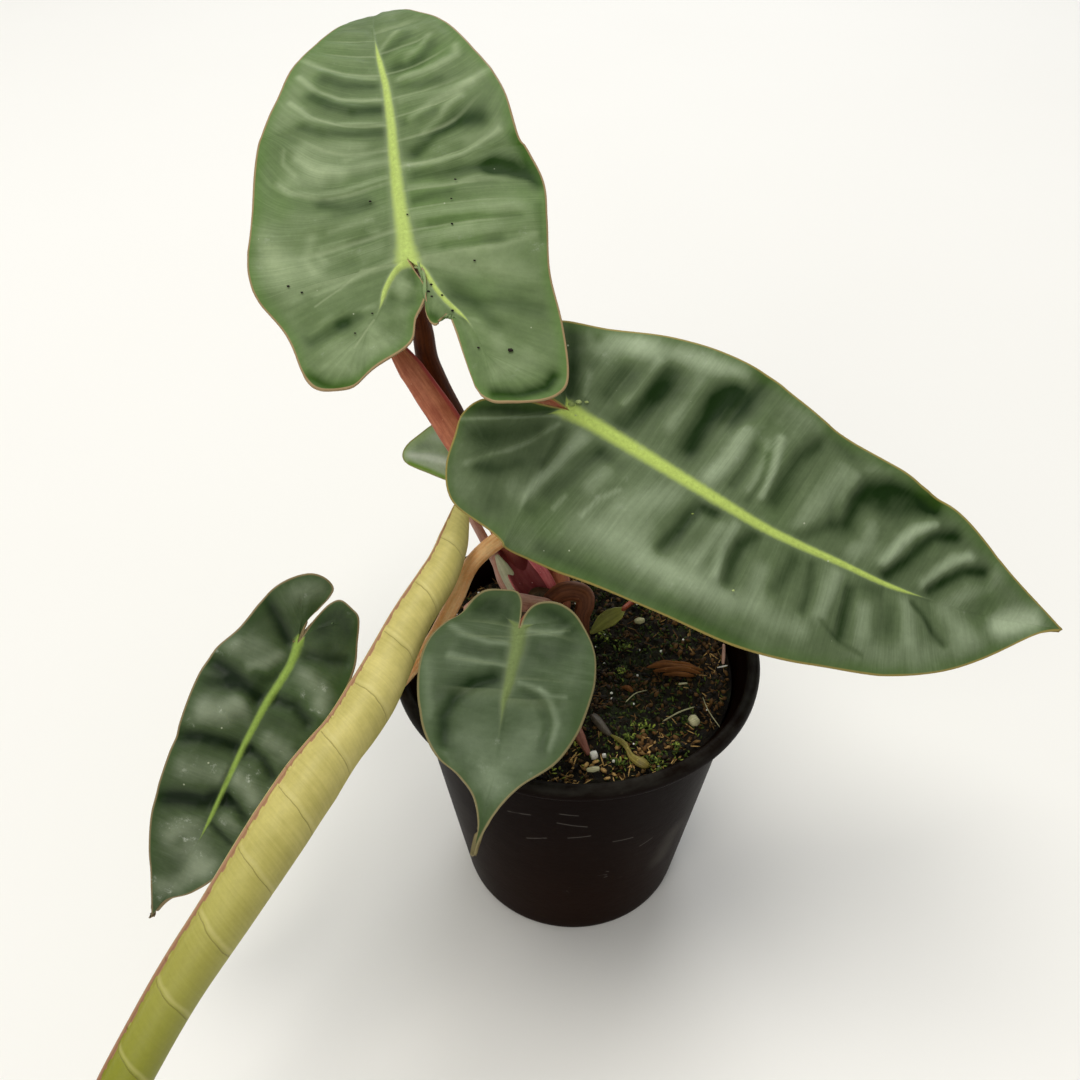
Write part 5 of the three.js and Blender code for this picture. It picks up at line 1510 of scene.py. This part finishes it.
bits = [  # look, half widths, flatness, then the points
    ["deadStick", [0.9, 1.2, 1, 0.5], 0.7,
     [3.6, -20, 82], [5.4, -23, 82.3], [6.7, -25.2, 82.2], [8.6, -27.5, 81.8]],
    ["husk", [0.3, 0.6, 0.8, 0.6, 1, 1.5, 0.9], 0.5,
     [7.9, -26.8, 81.9], [9.9, -28.8, 82.5], [11.8, -30.8, 82.6],
     [13.4, -34.3, 82], [15.5, -36.3, 82.2], [17.7, -37.6, 81.6]],
    ["chipBark", [0.3, 0.8, 0.6, 0.8, 0.3], 0.7,
     [20.5, -1.9, 81.6], [24, -1.6, 82.2], [31, -2.2, 82], [33.5, -3, 81.6]],
    ["chipBark", [0.3, 0.9, 0.8, 1, 0.3], 0.7,
     [19, -2.9, 81.6], [24, -2.9, 82.6], [29, -3.2, 82.4], [35.3, -4.2, 81.8]],
    ["chipBark", [0.4, 0.8, 0.9, 0.8, 0.3], 0.6,
     [20.8, -4.3, 81.7], [26, -4.4, 82.5], [30, -4.4, 82.6], [34.6, -5.4, 81.8]],
    ["chipBark", [0.3, 0.7, 0.8, 0.3], 0.6, [23.5, -5.3, 81.5], [27.5, -5.7, 82.2], [32.5, -6.2, 81.7]],
    ["chipBark", [0.3, 0.6, 0.7, 0.3], 0.5, [12, -10, 81.3], [13.6, -10.6, 81.9], [15.1, -11.8, 81.4]],
    ["white", [1, 1.2, 1], 0.85, [2.8, -33.9, 81.7], [4.7, -33.4, 81.9]],
    ["white", [0.5, 0.6, 0.5], 0.9, [5.8, -33.7, 81.5], [6.9, -33.6, 81.6]],
    ["white", [0.3, 0.4, 0.3], 0.9, [8.2, -35.4, 81.5], [9, -35.4, 81.6]],
    ["straw", [0.5, 0.9, 0.6], 0.4, [1.6, -38.2, 81.6], [5.1, -37.9, 81.8]],
    ["straw", [1, 1.5, 1.1], 0.8, [29.2, -22.8, 81.5], [31.6, -21.5, 81.8]],
    ["straw", [0.6, 1.1, 0.7], 0.6, [17.2, 15.4, 81.8], [20.3, 15.6, 82.1]],
    ["straw", [0.2, 0.22, 0.15], 1, [22, -22.8, 82.1], [26.4, -20.4, 82.9], [31.2, -17.6, 82.1]],
    ["straw", [0.14, 0.15, 0.1], 1, [12.7, -16.1, 82], [15.5, -13.6, 82.8], [19.2, -11.5, 82]],
    ["straw", [0.12, 0.15, 0.1], 1, [33.5, -14, 82], [34.5, -20, 82.8], [37, -25, 82]],
    ["straw", [0.25, 0.25, 0.2], 1, [27.5, -9.5, 82], [30, -9.4, 82.3]],
    ["rootlet", [0.4, 0.5, 0.4], 1, [41.4, 4.5, 83.6], [41.2, 2, 82.8], [40.6, -1.8, 81.6]],
    ["white", [0.12, 0.25, 0.15], 0.8, [38.8, -2.9, 81.6], [41.9, -2.2, 81.8]],
]

tufts = [  # x, y, leaves
    (10, -36, 30), (12.3, -28.4, 30), (20, -34.8, 60), (14, 6.6, 34), (25, -31, 34), (8, 9, 28),
    (17, -24, 40), (12, -4, 30),
]
tuftReach = 3.2
grainCount, grainReach = 60, 41
batchSize = 150  # bits made in one go: many more in one mesh are slow

scatter = [  # how many, half sizes, tilt, reach, shades, and whether they are moss
    (2600, (0.85, 0.5, 0.35), 0.7, 42, (0.0, 0.75), 0),
    (2400, (1.5, 0.15, 0.15), 0.7, 42, (0.2, 1.1), 0),
    (4200, (0.8, 0.36, 0.12), 1.3, 41.5, (0.0, 0.9), 1),
]


def addTube(bm, tube, columns, rows, finish):
    for vert in addGrid(bm, columns, rows, tubeShape(tube)):
        for face in vert.link_faces:
            face.material_index = finish


def addBit(bm, half, spot, turn, shade, finish):
    move = Matrix.LocRotScale(Vector(spot) * mm, turn, Vector(half) * mm)
    hues = bm.verts.layers.float["hues"]
    for vert in bmesh.ops.create_icosphere(bm, subdivisions=1, radius=1, matrix=move)["verts"]:
        vert[hues] = shade
        for face in vert.link_faces:
            face.material_index = finish


def litterFinish(name, deep, middle, pale):
    finish = Finish(name, {"Specular IOR Level": 0.3})
    hues = finish.value("hues")
    grain = finish.noise(finish.place(), 1800.0, 3.0, 0.7)
    colour = finish.blend(tone(deep), tone(middle), finish.fade(hues, 0.0, 0.6))
    colour = finish.blend(colour, tone(pale), finish.fade(hues, 0.6, 1.0))
    finish.feed("Base Color", finish.tint(colour, 0.6 + grain * 0.8))
    finish.feed("Roughness", 0.6 + grain * 0.3)
    return finish


def litterPlan():  # half sizes, place, turn, shade and finish of every crumb, fibre, moss leaf and grain
    chance = random.Random(11)
    plan = []

    def spread(reach):  # a place on the soil, evenly spread
        angle, away = chance.uniform(0, math.tau), reach * chance.random() ** 0.5
        return away * math.cos(angle), away * math.sin(angle), away

    def add(half, x, y, up, tilt, shade, finish):
        leanX, leanY = (chance.uniform(-tilt, tilt) for part in range(2))
        turn = Euler((leanX, leanY, chance.uniform(0, math.tau)))
        plan.append((half, (x, y, soilHeight(x, y) + up), turn, shade, finish))

    for count, half, tilt, reach, (low, high), moss in scatter:
        for number in range(count):
            x, y, away = spread(reach)
            patch = noise.noise(Vector((x * 0.08, y * 0.08, 2.0))) - 0.5 * smooth(away, 26, 40) + 0.15
            size = chance.uniform(0.5, 1.4)
            # painted light and shade: bits darker near the middle, where the leaves shade the mix, and
            # lighter towards the outer and front edge of the rim
            light = 0.6 + 0.25 * smooth(away, 16, 38) + 0.45 * smooth(-y, 18, 36)
            shade = chance.uniform(low, high) * light
            if (patch > -0.05) == bool(moss) or chance.random() < 0.35:
                add(Vector(half) * size, x, y, half[2] * size, tilt, shade, moss)
    for x, y, count in tufts:
        for number in range(count):
            angle, away = chance.uniform(0, math.tau), chance.random() * tuftReach
            size = chance.uniform(0.5, 1.0)
            spot = x + away * math.cos(angle), y + away * math.sin(angle)
            half, up = Vector((1, 0.42, 0.14)) * size, 0.4 + 0.4 * (tuftReach - away)
            add(half, *spot, up, 0.9, chance.uniform(0.25, 0.95), 1)
    for number in range(grainCount):
        x, y, away = spread(grainReach)
        half = Vector((1.2, 1, 0.8)) * chance.uniform(0.2, 0.42)
        add(half, x, y, 0.5, 0, 1.0, 2)
    return plan


def makeLitter():
    plan = litterPlan()
    bm = newSkin(["hues"])
    for start in range(0, len(plan), batchSize):
        batch = newSkin(["hues"])
        for part in plan[start:start + batchSize]:
            addBit(batch, *part)
        mesh = bpy.data.meshes.new("batch")
        batch.to_mesh(mesh)
        batch.free()
        bm.from_mesh(mesh)
        bpy.data.meshes.remove(mesh)
    finishes = [
        litterFinish("peatCrumbs", "0c0804", "60421c", "cfa868"),
        litterFinish("moss", "0f1704", "3f5012", "a3b04a"),
        litterFinish("perliteGrains", "c8c2b0", "e6e2d4", "f6f4ec"),
    ]
    makePiece("litter", bm, finishes)


grit = {  # across, along and half size of each speck on a leaf, in mm
    "topLeaf": [
        (-29.5, -1.5, 0.35), (-26.5, -4, 0.3), (4.5, -8.5, 0.35), (6.5, -12, 0.3), (8, -17, 0.35),
        (18.5, -31.5, 0.6), (12.5, 6, 0.3), (15.5, 17.5, 0.3), (-6.5, 17.5, 0.3), (2, 12, 0.25),
        (16, -5.5, 0.3), (13.5, 12.5, 0.25), (3.5, -10, 0.35), (-16, -16.5, 0.25), (-11, -12.5, 0.25),
        (3, -6.5, 0.3), (4, -11.5, 0.3), (11.5, -28.5, 0.3),
    ],
    "rightLeaf": [
        (-1.6, 0.2, 0.8), (-3, 1.6, 0.7), (-3.8, 3.4, 0.5), (0.5, 2.5, 0.4), (7, 40, 0.3), (18, 56.5, 0.35),
    ],
}


def makeGrit():
    bm = newSkin(["hues"])
    for number, (leafName, specks) in enumerate(grit.items()):
        sheet = bentSheet(leaves[leafName])[0]
        for x, y, size in specks:
            spot, facing = (part[0] for part in sheet(np.array([float(x)]), np.array([float(y)])))
            turn = Vector(facing).to_track_quat("Z", "Y")
            addBit(bm, Vector((1.3, 0.8, 0.6)) * size, spot + facing * 0.35, turn, y % 1, number)
    finishes = [
        litterFinish("grit", "0c0804", "1c120a", "2c1c10"),
        litterFinish("knob", "7d8c4a", "a9b878", "d0d8b8"),
    ]
    makePiece("leafGrit", bm, finishes)


def makeBits():
    bm = newSkin()
    names = sorted({bit[0] for bit in bits})
    for look, width, flat, *path in bits:
        tube = {
            "path": path, "width": width, "depth": [half * flat for half in width], "facing": (0, -0.2, 1),
            "ends": (0.12, 0.12), "rough": 0.3, "seed": path[0][0],
        }
        addTube(bm, tube, 12, 16, names.index(look))
    joinSeams(bm)
    makePiece("litterBits", bm, [stalkFinish(name, bitLooks[name], 2.0) for name in names])


sproutSkin = newSkin()
addTube(sproutSkin, sproutStalk, 14, 30, 0)
addTube(sproutSkin, sproutLeaf, 24, 40, 1)
joinSeams(sproutSkin)
sproutFinishes = [stalkFinish(name, bitLooks[name], 14.0) for name in ("sproutStalk", "sproutLeaf")]
makePiece("sproutPiece", sproutSkin, sproutFinishes, ["sprout"])
twigFinish = stalkFinish("twigBark", bitLooks["twigBark"], 15.0)
makeTube("twigPiece", twig, twigFinish, ["twig"], 16, 50)
makeLitter()
makeBits()
makeGrit()
